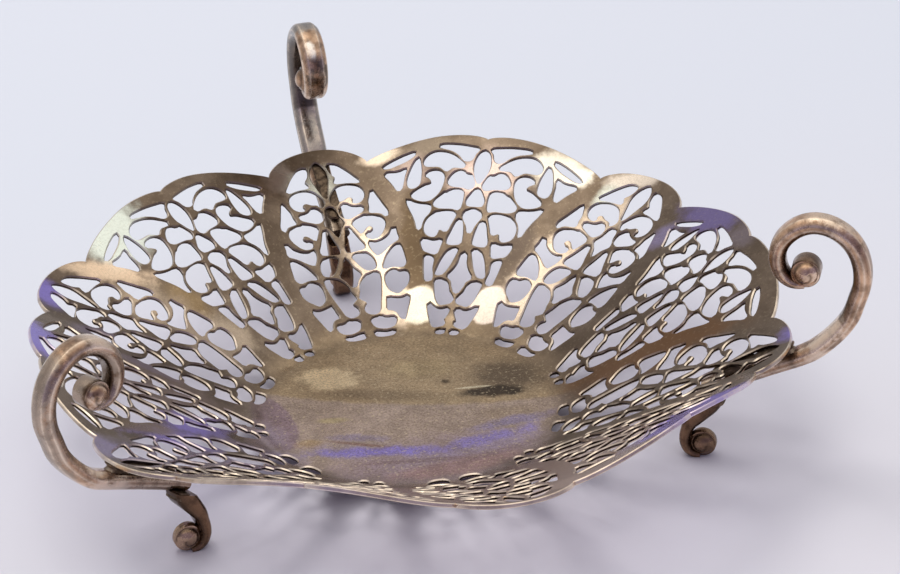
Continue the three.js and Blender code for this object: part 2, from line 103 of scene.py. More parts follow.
class NodeTree:
    """A material's or world's nodes, added by type, settings and sockets."""

    def __init__(self, owner: bpy.types.Material | bpy.types.World) -> None:
        """Empties the owner's node tree and keeps it.

        Args:
            owner: the material or world to dress.
        """
        owner.use_nodes = True
        self.nodes = owner.node_tree.nodes
        self.links = owner.node_tree.links
        self.nodes.clear()

    def feed(self, socket: bpy.types.NodeSocket, value: object) -> None:
        """Links a wire to a socket, or sets the socket's own value."""
        if isinstance(value, Wire):
            self.links.new(value.socket, socket)
        elif isinstance(value, tuple) and len(value) == 3 and len(socket.default_value) == 4:
            socket.default_value = (*value, 1.0)
        else:
            socket.default_value = value

    def node(
        self,
        kind: str,
        settings: dict[str, object] | None = None,
        sockets: dict[str | int, object] | None = None,
        out: str | int = 0,
    ) -> Wire:
        """Adds one node.

        Args:
            kind: the node's type.
            settings: its properties, set first; "stops" fills a colour ramp.
            sockets: values or wires for its inputs.
            out: the output to return.

        Returns:
            A wire from that output.
        """
        made = self.nodes.new(kind)
        for name, value in (settings or {}).items():
            if name == "stops":
                self._fill_ramp(made.color_ramp, value)
            else:
                setattr(made, name, value)
        for key, value in (sockets or {}).items():
            self.feed(made.inputs[key], value)
        return Wire(self, made.outputs[out] if made.outputs else None)

    @staticmethod
    def _fill_ramp(ramp: bpy.types.ColorRamp, stops: Sequence[tuple]) -> None:
        """Gives a ramp its stops, each a place and a colour."""
        while len(ramp.elements) < len(stops):
            ramp.elements.new(0.5)
        for element, (place, colour) in zip(ramp.elements, stops):
            element.position = place
            element.color = (*colour, 1.0)

    def maths(self, operation: str, a: Wire | float, b: Wire | float) -> Wire:
        """One Math node on two values."""
        return self.node("ShaderNodeMath", {"operation": operation}, {0: a, 1: b})

    def blend(self, factor: Wire | float, a: object, b: object) -> Wire:
        """Mixes two colours."""
        return self.node("ShaderNodeMix", {"data_type": "RGBA"}, {0: factor, 6: a, 7: b}, out=2)

    def spread(self, value: Wire, low: float, high: float, to: tuple = (0.0, 1.0)) -> Wire:
        """Maps a range of a value smoothly onto another, with its ends held."""
        settings = {"interpolation_type": "SMOOTHSTEP"}
        sockets = {0: value, 1: low, 2: high, 3: to[0], 4: to[1]}
        return self.node("ShaderNodeMapRange", settings, sockets)

    def place_mm(self) -> Wire:
        """The point on the object, in millimetres."""
        place = self.node("ShaderNodeTexCoord", out="Object")
        return self.node("ShaderNodeVectorMath", {"operation": "SCALE"}, {0: place, 3: 1000.0})

    def clouds(self, place: Wire, size: float, detail: float = 3, rough: float = 0.5) -> Wire:
        """Noise whose lumps are about size millimetres across."""
        sockets = {"Vector": place, "Scale": 1 / size, "Detail": detail, "Roughness": rough}
        return self.node("ShaderNodeTexNoise", None, sockets)

    def painted(self, name: str) -> Wire:
        """A value that the mesh carries."""
        return self.node("ShaderNodeAttribute", {"attribute_name": name}, out="Fac")

    def from_axis(self, place: Wire) -> Wire:
        """Distance from the dish's axis, in the unit of the place."""
        flat = {0: place, 1: (1.0, 1.0, 0.0)}
        level = self.node("ShaderNodeVectorMath", {"operation": "MULTIPLY"}, flat)
        return self.node("ShaderNodeVectorMath", {"operation": "LENGTH"}, {0: level}, out=1)

    def patched(self, colour: Wire, place: Wire, patches: Sequence["Patch"], lumps: Wire) -> Wire:
        """Lays patches over a colour, each a mask over an oval of the plan.

        Args:
            colour: the colour beneath.
            place: the point on the object, in mm.
            patches: the ovals, the last on top.
            lumps: noise about a half that frays their borders.

        Returns:
            The colour with its patches.
        """
        ragged = lumps - 0.5
        for patch in patches:
            sockets = {
                "Vector": place,
                "Location": (*patch.centre, 0.0),
                "Rotation": (0.0, 0.0, math.radians(patch.turn)),
                "Scale": (*patch.reach, 1.0),
            }
            local = self.node("ShaderNodeMapping", {"vector_type": "TEXTURE"}, sockets)
            far = self.from_axis(local) + patch.fray * ragged
            mask = self.spread(far, patch.core, 1.0, (patch.strength, 0.0))
            colour = self.blend(mask, colour, patch.colour)
        return colour


@dataclass(frozen=True)
class Patch:
    """An oval in plan of tarnish, painted highlight, painted reflection or painted shade: centre and half
    sizes in mm, turn in degrees.
    """

    centre: tuple[float, float]
    reach: tuple[float, float]
    turn: float
    colour: tuple[float, float, float]
    strength: float = 0.9
    core: float = 0.3
    fray: float = 0.9


@dataclass(frozen=True)
class SheetTarnishAndPaintedLight:
    """Pierced sheet silver: olive tarnish, worn cut edges with painted highlight, painted shade on the cut
    walls, patches of tarnish, painted highlight and painted reflection, and fine grain in the well.
    """

    name: str = "sheet_tarnish_and_painted_light"
    well: tuple = (0.66, 0.51, 0.42)
    wall: tuple = (0.225, 0.17, 0.125)
    dull: tuple = (0.13, 0.094, 0.066)
    deep: tuple = (0.075, 0.05, 0.032)
    pale: tuple = (0.8, 0.66, 0.44)
    # pale colour of worn edges, also used for the painted highlight on edges that face up the wall
    worn: tuple = (1.0, 0.86, 0.7)
    # near-black colour of the painted shade on the walls of the openings
    cut: tuple = (0.035, 0.022, 0.014)
    well_patches: tuple[Patch, ...] = ()
    patches: tuple[Patch, ...] = ()
    well_ends: float = 27.0
    grain_ends: float = 34.0
    wall_begins: float = 38.0
    bump_depth: float = 0.3

    def build(self) -> bpy.types.Material:
        """Makes the material.

        Returns:
            The finished material.
        """
        material = bpy.data.materials.new(self.name)
        tree = NodeTree(material)
        place = tree.place_mm()
        broad = tree.spread(tree.clouds(place, 22, 4, 0.55), 0.4, 0.62)
        lumps = tree.clouds(place, 4.5, 6, 0.62)
        mottled = tree.spread(lumps, 0.38, 0.64)
        speckle = tree.spread(tree.clouds(place, 0.5, 3, 0.75), 0.44, 0.62)
        flecks = tree.spread(tree.clouds(place, 0.75, 2, 0.6), 0.56, 0.7)
        from_axis = tree.from_axis(place)
        in_well = tree.spread(from_axis, self.well_ends, self.grain_ends, (1.0, 0.0))
        on_wall = tree.spread(from_axis, self.well_ends, self.wall_begins)
        colour = tree.blend(broad * 0.2, self.well, self.dull)
        colour = tree.patched(colour, place, self.well_patches, lumps)
        colour = tree.blend(on_wall, colour, self.wall)
        colour = tree.blend(broad * (0.65 - 0.55 * in_well), colour, self.dull)
        colour = tree.blend(mottled * (0.36 - 0.12 * in_well), colour, self.deep)
        colour = tree.patched(colour, place, self.patches, lumps)
        colour = tree.blend(speckle * (0.12 + 0.3 * in_well), colour, self.deep)
        colour = tree.blend(flecks * (0.1 + 0.4 * in_well), colour, self.pale)
        # worn colour on the edges of cuts and the rim: partly wear, partly painted highlight that is
        # strongest where an edge faces up the wall
        colour = tree.blend(tree.painted("edge") * (0.85 - 0.4 * mottled), colour, self.worn)
        # painted shade: the walls of the openings are laid over in the near-black cut colour
        colour = tree.blend(tree.painted("cut") * 0.95, colour, self.cut)
        rough = 0.24 + 0.1 * broad + 0.12 * in_well * speckle
        grain = tree.clouds(place, 0.4, 2, 0.6)
        waves = tree.clouds(place, 9, 2, 0.4)
        height = 0.12 * in_well * grain + 0.03 * grain + 1.1 * waves
        return finish_metal(material, tree, colour, rough, height, self.bump_depth)


@dataclass(frozen=True)
class ScrollWearAndPaintedLight:
    """Cast and filed silver of the handles and feet: copper-brown with worn ridges, painted shade on the
    curls' inner faces and the rolls' sides, and the patches it is given.
    """

    name: str
    clear: tuple = (0.68, 0.43, 0.27)
    dull: tuple = (0.22, 0.135, 0.09)
    patches: tuple[Patch, ...] = ()
    # dark colour of mottled tarnish, and of the painted shade on inner faces
    deep: tuple = (0.045, 0.03, 0.022)
    worn: tuple = (0.95, 0.8, 0.65)
    rolled: tuple | None = None
    bump_depth: float = 0.25

    def build(self) -> bpy.types.Material:
        """Makes the material.

        Returns:
            The finished material.
        """
        material = bpy.data.materials.new(self.name)
        tree = NodeTree(material)
        place = tree.place_mm()
        broad = tree.spread(tree.clouds(place, 7, 5, 0.65), 0.4, 0.64)
        mottled = tree.spread(tree.clouds(place, 2.2, 4, 0.6), 0.4, 0.7)
        speckle = tree.spread(tree.clouds(place, 0.5, 3, 0.7), 0.5, 0.7)
        colour = tree.blend(broad * 0.7, self.clear, self.dull)
        colour = tree.blend(mottled * 0.6, colour, self.deep)
        colour = tree.patched(colour, place, self.patches, broad)
        if self.rolled:
            colour = tree.blend(tree.painted("roll") * (1 - 0.45 * mottled), colour, self.rolled)
        colour = tree.blend(tree.painted("ridge") * (0.7 - 0.5 * mottled), colour, self.worn)
        # painted shade: the curls' inner faces and the rolls' sides are darkened towards the deep colour,
        # and so are the spiral grooves
        colour = tree.blend(tree.painted("hollow") * 0.75, colour, self.deep)
        rough = 0.19 + 0.12 * broad + 0.08 * speckle
        height = 0.1 * speckle + 0.9 * tree.clouds(place, 3.5, 2, 0.4)
        return finish_metal(material, tree, colour, rough, height, self.bump_depth)


@dataclass(frozen=True)
class GreySolder:
    """Dull solder with a lumpy skin, dark in the seams and bare at the petals' tips."""

    name: str = "grey_solder"
    bare: tuple = (0.3, 0.24, 0.19)
    clear: tuple = (0.2, 0.145, 0.1)
    dull: tuple = (0.07, 0.05, 0.035)
    tip_begins: float = 77.9
    tip_bare: float = 78.4
    bump_depth: float = 0.3
    bump_strength: float = 0.6

    def build(self) -> bpy.types.Material:
        """Makes the material.

        Returns:
            The finished material.
        """
        material = bpy.data.materials.new(self.name)
        tree = NodeTree(material)
        place = tree.place_mm()
        lumps = tree.spread(tree.clouds(place, 1.6, 4, 0.6), 0.35, 0.65)
        at_tip = tree.spread(tree.from_axis(place), self.tip_begins, self.tip_bare)
        colour = tree.blend(lumps, self.clear, self.dull)
        colour = tree.blend(at_tip * (1 - 0.5 * lumps), colour, self.bare)
        height = tree.clouds(place, 1.1, 3, 0.5)
        bump = (self.bump_depth, self.bump_strength)
        return finish_metal(material, tree, colour, 0.4 + 0.2 * lumps, height, *bump)


def finish_metal(
    material: bpy.types.Material,
    tree: NodeTree,
    colour: Wire,
    rough: Wire,
    height: Wire,
    depth: float,
    strength: float = 0.5,
) -> bpy.types.Material:
    """Ends a metal's tree with its shader.

    Args:
        material: the material being made.
        tree: its nodes.
        colour: the base colour.
        rough: the roughness.
        height: the bump's height.
        depth: how deep the bump is, in mm.
        strength: how strong it is.

    Returns:
        The same material.
    """
    bumped = {"Strength": strength, "Distance": depth * MM, "Height": height}
    bump = tree.node("ShaderNodeBump", None, bumped)
    sockets = {"Base Color": colour, "Metallic": 1.0, "Roughness": rough, "Normal": bump}
    shader = tree.node("ShaderNodeBsdfPrincipled", None, sockets)
    tree.node("ShaderNodeOutputMaterial", None, {"Surface": shader})
    return material


class Band(Enum):
    """Which part of a cut sheet a face belongs to."""

    PLAIN = "plain"
    EDGE = "edge"
    CUT = "cut"


@dataclass
class Shell:
    """Corners, faces and painted values of a mesh in the making, in millimetres."""

    corners: list[Vector] = field(default_factory=list)
    faces: list[tuple[int, ...]] = field(default_factory=list)
    on_corners: dict[str, list[float]] = field(default_factory=dict)
    on_faces: dict[str, list[float]] = field(default_factory=dict)

    def add_corners(self, points: Sequence[Vector]) -> list[int]:
        """Adds corners and returns their numbers."""
        first = len(self.corners)
        self.corners.extend(points)
        return list(range(first, first + len(points)))

    def strip(self, a: Sequence[int], b: Sequence[int], closed: bool) -> None:
        """Joins two rows of corners with four-sided faces."""
        count = len(a) if closed else len(a) - 1
        for i in range(count):
            k = (i + 1) % len(a)
            self.faces.append((a[i], a[k], b[k], b[i]))

    def close_ends(self, rings: Sequence[Sequence[int]]) -> None:
        """Joins closed rings into a tube with a face at each end."""
        for a, b in zip(rings, rings[1:]):
            self.strip(a, b, closed=True)
        self.faces.append(tuple(rings[0]))
        self.faces.append(tuple(reversed(rings[-1])))

    def turn(self, degrees: float) -> None:
        """Turns every corner about the dish's axis."""
        turn = turned_to(degrees)
        self.corners = [turn @ corner for corner in self.corners]

    def to_object(self, name: str, sharp_degrees: float, weld: float = 0.0) -> bpy.types.Object:
        """Makes the Blender object, in metres.

        Args:
            name: the piece's name.
            sharp_degrees: edges bent by more stay sharp.
            weld: corners closer than this, in mm, are merged.

        Returns:
            The new object, linked to the scene.
        """
        mesh = bpy.data.meshes.new(name)
        mesh.from_pydata([tuple(corner * MM) for corner in self.corners], [], self.faces)
        for label, values in self.on_corners.items():
            mesh.attributes.new(label, "FLOAT", "POINT").data.foreach_set("value", values)
        for label, values in self.on_faces.items():
            mesh.attributes.new(label, "FLOAT", "FACE").data.foreach_set("value", values)
        tidy_mesh(mesh, weld * MM)
        mesh.shade_smooth()
        mesh.set_sharp_from_angle(angle=math.radians(sharp_degrees))
        made = bpy.data.objects.new(name, mesh)
        bpy.context.scene.collection.objects.link(made)
        return made


def tidy_mesh(mesh: bpy.types.Mesh, weld: float) -> None:
    """Merges close corners and turns the faces outwards.

    Args:
        mesh: the mesh to tidy.
        weld: how near two corners have to be to be merged, or nought to leave them.
    """
    work = bmesh.new()
    work.from_mesh(mesh)
    if weld:
        bmesh.ops.remove_doubles(work, verts=work.verts, dist=weld)
    bmesh.ops.recalc_face_normals(work, faces=work.faces)
    work.to_mesh(mesh)
    work.free()
    mesh.validate()


@dataclass(frozen=True)
class SheetForm:
    """The dish's surface, shared by everything that touches it."""

    thickness: float = 0.9
    well_radius: float = 30.0
    bend_width: float = 5.0
    pierced_radius: float = 31.4
    rim_radius: float = 74.0
    wall_rise: float = 22.9
    wave_depth: float = 2.7
    wave_growth: float = 1.2
    petal_reach: float = 4.5
    lobe_reach: float = 1.7
    cleft_reach: float = 0.8
    rim_power: float = 0.7
    petals: int = 6
    panel_degrees: float = 30.0
    notch_degrees: float = 8.8
    strap_reach: float = 78.8
    table: float = -4.4

    def slope(self, radius: float, angle: float) -> tuple[float, float, float]:
        """Height of the top face and its slopes.

        Args:
            radius: distance from the middle.
            angle: radians from a petal's middle.

        Returns:
            Height, slope outwards and slope sideways.
        """
        out = max(0.0, radius - self.well_radius)
        half_bend = self.bend_width / 2
        bent = out - half_bend if out >= self.bend_width else out * out / (2 * self.bend_width)
        steep = min(1.0, out / self.bend_width)
        span = self.rim_radius - self.well_radius
        wall = self.wall_rise / (span - half_bend)
        grown = (out / span) ** self.wave_growth
        growing = self.wave_growth * (out / span) ** (self.wave_growth - 1) / span
        wave = math.cos(self.petals * angle)
        around = self.wave_depth * grown * self.petals * math.sin(self.petals * angle)
        return (
            wall * bent - self.wave_depth * grown * wave,
            wall * steep - self.wave_depth * growing * wave,
            around / max(radius, self.well_radius),
        )

    def point(self, radius: float, angle: float, depth: float) -> Vector:
        """A point at a depth below the top face, square to it, with +X at angle nought."""
        height, outward, around = self.slope(radius, angle)
        normal = Vector((-outward, -around, 1.0)).normalized()
        place = Vector((radius, 0.0, height)) - normal * depth
        return Matrix.Rotation(angle, 3, "Z") @ place

    def petal_rim(self, share: float) -> float:
        """Rim radius of a petal at a share of its half width."""
        return self.rim_radius + self.petal_reach * (1 - share * share) ** self.rim_power

    def lobe_rim(self, share: float) -> float:
        """Rim radius of a wide panel's lobe, from its notch at -1 to the cleft at 1."""
        base = self.rim_radius + self.cleft_reach * (1 + share) / 2
        return base + self.lobe_reach * (1 - share * share) ** self.rim_power


FORM = SheetForm()


def on_plan(radius: float, angle: float) -> Vector:
    """The plan point at a radius and an angle."""
    return Vector((radius * math.cos(angle), radius * math.sin(angle)))


def polar(point: Vector) -> Vector:
    """Radius and angle of a plan point."""
    return Vector((point.length, math.atan2(point.y, point.x)))


def closed_curve(points: Sequence[Vector], spacing: float, steps: int = 6) -> list[Vector]:
    """A smooth closed curve through points, cut into even steps.

    Args:
        points: corners of the outline, in plan.
        spacing: length of a step.
        steps: points tried between two corners before the cut.

    Returns:
        Points along the curve.
    """
    dense: list[Vector] = []
    count = len(points)
    for i in range(count):
        four = [points[(i + k) % count] for k in (-1, 0, 1, 2)]
        dense.extend(curve_point(four, k / steps) for k in range(steps))
    dense.append(dense[0].copy())
    return even_steps(dense, spacing)


def curve_point(four: Sequence[Vector], share: float) -> Vector:
    """A point of a centripetal Catmull-Rom curve between the middle two of four points.

    Args:
        four: four points in a row, the middle two apart.
        share: how far it lies from the second to the third.

    Returns:
        The point.
    """
    gaps = [max((four[k + 1] - four[k]).length, 1e-9) ** 0.5 for k in range(3)]
    a, b, c, d = four
    start = ((b - a) / gaps[0] - (c - a) / (gaps[0] + gaps[1]) + (c - b) / gaps[1]) * gaps[1]
    end = ((c - b) / gaps[1] - (d - b) / (gaps[1] + gaps[2]) + (d - c) / gaps[2]) * gaps[1]
    square, cube = share * share, share**3
    return (
        b
        + start * share
        + (3 * (c - b) - 2 * start - end) * square
        + (2 * (b - c) + start + end) * cube
    )


def even_steps(dense: Sequence[Vector], spacing: float) -> list[Vector]:
    """Cuts a closed run of points into even steps.

    Args:
        dense: close points along the run, the last one at the first.
        spacing: about how long a step is.

    Returns:
        The points of the steps, without the first again.
    """
    lengths = [0.0]
    for a, b in zip(dense, dense[1:]):
        lengths.append(lengths[-1] + (b - a).length)
    count = max(8, round(lengths[-1] / spacing))
    points, k = [], 0
    for i in range(count):
        target = lengths[-1] * i / count
        while lengths[k + 1] < target:
            k += 1
        share = (target - lengths[k]) / max(lengths[k + 1] - lengths[k], 1e-9)
        points.append(dense[k].lerp(dense[k + 1], share))
    return points


def inside(point: Vector, loop: Sequence[Vector]) -> bool:
    """True where a plan point lies in a closed loop.

    Args:
        point: the plan point.
        loop: the loop's corners in order.

    Returns:
        Whether it lies inside.
    """
    hit = False
    for i, a in enumerate(loop):
        b = loop[i - 1]
        if (a.y > point.y) != (b.y > point.y):
            if point.x < (b.x - a.x) * (point.y - a.y) / (b.y - a.y) + a.x:
                hit = not hit
    return hit


def signed_area(loop: Sequence[Vector]) -> float:
    """Area of a closed plan loop, above nought where it runs anticlockwise."""
    return sum(loop[i - 1].x * p.y - p.x * loop[i - 1].y for i, p in enumerate(loop)) / 2


@dataclass(frozen=True)
class Piercing:
    """The openings of one kind of panel: degrees from its middle, thousandths of the pierced height.

    A middle opening is its right half, from the axis back to the axis. The others come in pairs.
    """

    middles: tuple[Outline, ...]
    pairs: tuple[Outline, ...]

    def loops(self, spacing: float) -> list[list[Vector]]:
        """The openings in plan, about a panel whose middle lies along +X.

        Args:
            spacing: about how far apart the points of an outline lie.

        Returns:
            The openings' closed outlines.
        """
        outlines = []
        for half in self.middles:
            other = [(-angle, up) for angle, up in reversed(half) if angle != 0]
            outlines.append(list(half) + other)
        for outline in self.pairs:
            outlines.append(list(outline))
            outlines.append([(-angle, up) for angle, up in reversed(outline)])
        span = FORM.rim_radius - FORM.pierced_radius
        curves = []
        for outline in outlines:
            radii = [FORM.pierced_radius + up / 1000 * span for _, up in outline]
            corners = [on_plan(radius, math.radians(pair[0])) for radius, pair in zip(radii, outline)]
            curves.append(closed_curve(corners, spacing))
        return curves


PETAL_PIERCING = Piercing(
    middles=(
        [(0, 1060), (0.7, 1040), (1.3, 1000), (1.35, 960), (1.0, 920), (0.5, 870), (0, 835)],
        [(0, 775), (0.7, 765), (1.3, 720), (2.0, 685), (1.9, 675), (1.0, 650), (0.4, 620), (0, 600)],
        [(0, 465), (0.5, 445), (1.2, 410), (2.1, 385), (2.7, 370), (2.0, 352), (1.2, 330), (0.8, 310),
         (0, 305)],
    ),
    pairs=(
        [(1.9, 1035), (3.2, 1030), (4.6, 990), (5.8, 945), (6.8, 900), (5, 908), (2.9, 918), (2.4, 925),
         (2.9, 955), (2.1, 990)],
        [(0.7, 820), (1.3, 850), (2.1, 880), (3.2, 897), (4.3, 900), (5.4, 890), (6.5, 868), (7.1, 840),
         (7.1, 810), (6.5, 790), (5.6, 782), (4.9, 786), (5.15, 802), (5.0, 817), (4.3, 828), (3.5, 820),
         (3.2, 815), (2.6, 812), (2.1, 810), (1.6, 790), (1.2, 790)],
        [(1.9, 755), (2.3, 765), (2.7, 778), (3.2, 783), (3.7, 775), (4.1, 765), (5, 755), (6.0, 751),
         (6.6, 743), (6.4, 730), (5.6, 720), (4.5, 708), (3.4, 700), (2.6, 705), (1.9, 720)],
        [(8.8, 830), (9.6, 790), (10.5, 740), (11.5, 685), (11.2, 672), (10.2, 695), (9.0, 706), (7.9, 712),
         (8.1, 740), (8.1, 775), (8.4, 800)],
        [(3.9, 660), (4.4, 675), (5.4, 687), (6.6, 692), (8, 689), (9.3, 675), (10.2, 655), (10.6, 635),
         (10.4, 610), (9.9, 590), (9.2, 570), (8.4, 560), (7.4, 558), (6.4, 572), (6.4, 587), (7.3, 592),
         (8.1, 605), (8.0, 625), (7.3, 638), (6.5, 632), (5.7, 612), (5.2, 602), (4.6, 625)],
        [(2.2, 645), (2.8, 635), (3.5, 600), (4.2, 565), (5.2, 520), (5.0, 515), (0.9, 510), (0.9, 530),
         (1.5, 580), (1.9, 620)],
        [(6.6, 545), (7.5, 532), (9, 528), (10.5, 540), (11.6, 560), (12.2, 585), (12.7, 590), (13.0, 560),
         (13.3, 530), (12.5, 520), (11.2, 505), (10, 485), (9.0, 470), (8.0, 462), (7.6, 475), (7.0, 495),
         (6.6, 520)],
        [(1.9, 475), (2.4, 487), (3.4, 489), (4.6, 483), (5.8, 465), (6.6, 440), (7.0, 410), (6.9, 395),
         (6.2, 387), (5.2, 388), (4.2, 400), (3.2, 425), (2.5, 450)],
        [(9.2, 380), (9.6, 405), (10.3, 435), (11.4, 465), (12.6, 490), (13.4, 495), (14.0, 470),
         (14.5, 430), (14.8, 390), (14.2, 375), (12.8, 378), (11, 382)],
        [(9.3, 320), (9.8, 345), (10.7, 362), (12, 362), (12.8, 345), (13.2, 340), (14.8, 338), (15.4, 325),
         (15.4, 290), (14.8, 270), (13.6, 250), (12.4, 235), (11.2, 242), (10, 258), (9.4, 285)],
        [(1.9, 305), (2.6, 325), (3.7, 345), (5.2, 360), (6.6, 368), (7.3, 360), (7.6, 335), (7.3, 280),
         (6.9, 240), (6.2, 190), (5.7, 155), (5.0, 140), (4.0, 135), (2.6, 140), (1.5, 150), (1.2, 165),
         (2.2, 190), (2.5, 205), (1.6, 220), (0.5, 235), (0.9, 245), (1.5, 270)],
        [(9.1, 210), (9.8, 205), (11.5, 198), (13, 195), (14.5, 200), (15.4, 208), (15.2, 170), (14.8, 150),
         (14.1, 110), (13.6, 90), (12.4, 100), (11.6, 125), (10, 145), (8.4, 150), (8.7, 170)],
        [(2.2, 100), (3.0, 112), (4.5, 112), (5.7, 120), (6.6, 105), (8.5, 98), (10.3, 103), (10.6, 90),
         (9.9, 65), (8, 50), (6, 50), (3.8, 60), (2.7, 75)],
        [(2.4, 30), (4.5, 25), (7, 20), (9.4, 28), (9.8, 20), (9, 0), (7.5, -10), (4, -12), (2.4, 0)],
    ),
)

WIDE_PIERCING = Piercing(
    middles=(
        [(0, 955), (0.7, 945), (1.2, 920), (1.45, 880), (1.3, 850), (1.0, 825), (0.5, 800), (0, 785)],
        [(0, 757), (0.5, 750), (1.2, 720), (1.8, 690), (1.5, 672), (0, 668)],
        [(0, 650), (0.9, 645), (1.6, 630), (2.0, 612), (1.5, 590), (0.8, 565), (0.45, 535), (0, 530)],
        [(0, 420), (0.6, 410), (0.9, 375), (1.5, 345), (2.4, 320), (3.3, 303), (2.6, 290), (1.9, 280),
         (1.7, 260), (1.2, 245), (0.6, 225), (0, 222)],
    ),
    pairs=(
        [(1.1, 963), (3, 978), (5.5, 992), (8.0, 1000), (8.4, 995), (7.5, 982), (6.0, 965), (4.5, 935),
         (3.5, 905), (2.6, 905), (2.1, 915), (1.7, 945)],
        [(3.4, 880), (4.5, 910), (6, 940), (7.5, 958), (9, 965), (10.2, 955), (10.9, 935), (11.05, 915),
         (10.6, 900), (9.6, 893), (8.2, 886), (7.4, 870), (6.8, 857), (6.4, 859), (5.9, 870), (5.2, 874),
         (4.4, 870), (3.6, 867)],
        [(7.15, 820), (7.6, 846), (8.5, 860), (9.6, 863), (10.4, 856), (10.6, 846), (9.9, 832), (9.4, 812),
         (9.5, 796), (10.8, 788), (12.2, 773), (13.4, 753), (12.9, 736), (11.2, 714), (9.8, 712),
         (8.5, 732), (7.6, 765)],
        [(12.1, 950), (12.7, 935), (13.3, 905), (13.9, 865), (14.15, 830), (13.8, 800), (13.0, 793),
         (12.0, 803), (11.7, 830), (11.6, 870), (11.7, 905), (11.9, 935)],
        [(12.7, 985), (14.5, 980), (16.5, 965), (18, 950), (18.6, 940), (17.5, 933), (16, 940), (14.5, 950),
         (13.3, 965), (12.8, 975)],
        [(14.4, 905), (15.5, 898), (16.5, 898), (18.1, 905), (18.3, 895), (17.6, 865), (16.8, 830),
         (16.0, 795), (15.5, 800), (15.1, 830), (14.8, 870)],
        [(0.9, 785), (1.3, 808), (1.8, 832), (2.2, 829), (2.9, 831), (3.4, 846), (4.2, 852), (5.1, 840),
         (5.9, 815), (6.2, 795), (5.7, 780), (4.5, 770), (3, 765), (1.6, 757), (1.0, 765)],
        [(2.85, 720), (3.0, 742), (3.5, 752), (4.6, 755), (5.5, 750), (6.1, 735), (6.6, 735), (7.2, 728),
         (8.0, 713), (8.8, 695), (8.8, 683), (8.2, 672), (7.2, 662), (5.8, 658), (4.4, 655), (3.5, 647),
         (3.1, 655), (2.85, 685)],
        [(9.6, 680), (10.8, 688), (12.1, 698), (13.3, 712), (14.3, 727), (13.9, 690), (13.2, 650),
         (12.6, 610), (12.1, 565), (11.6, 560), (11.3, 590), (10.7, 620), (9.7, 645)],
        [(3.8, 620), (4.4, 635), (5.8, 642), (7.4, 640), (9.0, 628), (10.2, 600), (10.6, 570), (10.3, 540),
         (9.3, 520), (8.1, 515), (7.6, 530), (7.3, 547), (6.6, 550), (6.2, 540), (5.3, 540), (4.8, 565),
         (4.2, 595)],
        [(2.2, 592), (2.8, 590), (3.4, 570), (4.1, 530), (4.9, 480), (4.6, 472), (1.6, 475), (1.5, 500),
         (1.75, 550)],
        [(6.2, 487), (7.3, 484), (8.6, 485), (9.9, 495), (11.1, 500), (11.0, 475), (10.4, 445), (9.2, 432),
         (8.0, 422), (7.2, 425), (6.8, 445), (6.5, 465)],
        [(2.0, 440), (2.7, 445), (3.6, 438), (4.6, 418), (5.6, 385), (6.35, 350), (6.9, 322), (7.05, 315),
         (6.0, 312), (5.1, 316), (4.4, 330), (3.5, 358), (2.8, 390), (2.4, 412)],
        [(8.1, 400), (9, 410), (10, 415), (10.15, 370), (10.0, 320), (9.7, 285), (8.9, 283), (8.05, 288),
         (8.2, 340)],
        [(0.5, 187), (1.6, 206), (2.5, 225), (2.9, 252), (3.7, 272), (5.3, 280), (6.8, 280), (6.7, 250),
         (6.3, 210), (5.5, 175), (4.5, 160), (2.8, 163), (1.2, 170)],
        [(1.2, 130), (1.9, 137), (3.2, 127), (4.7, 126), (6.2, 135), (7.5, 150), (8.3, 160), (8.1, 125),
         (7.4, 90), (6.7, 60), (5.4, 38), (4.0, 41), (2.7, 47), (1.8, 65), (2.6, 75), (1.9, 98),
         (1.4, 112)],
        [(1.4, 20), (2.5, 23), (4.3, 18), (4.5, 10), (3.8, -8), (2, -10), (1.3, 0)],
    ),
)


@dataclass(frozen=True)
class FlatPanel:
    """A panel's plan before it is bent, with its rim and openings as radius and angle."""

    points: list[Vector]
    faces: list[tuple[int, int, int]]
    rim: list[Vector]
    inset: list[Vector]
    cuts: list[list[Vector]]
    shoulders: list[list[Vector]]


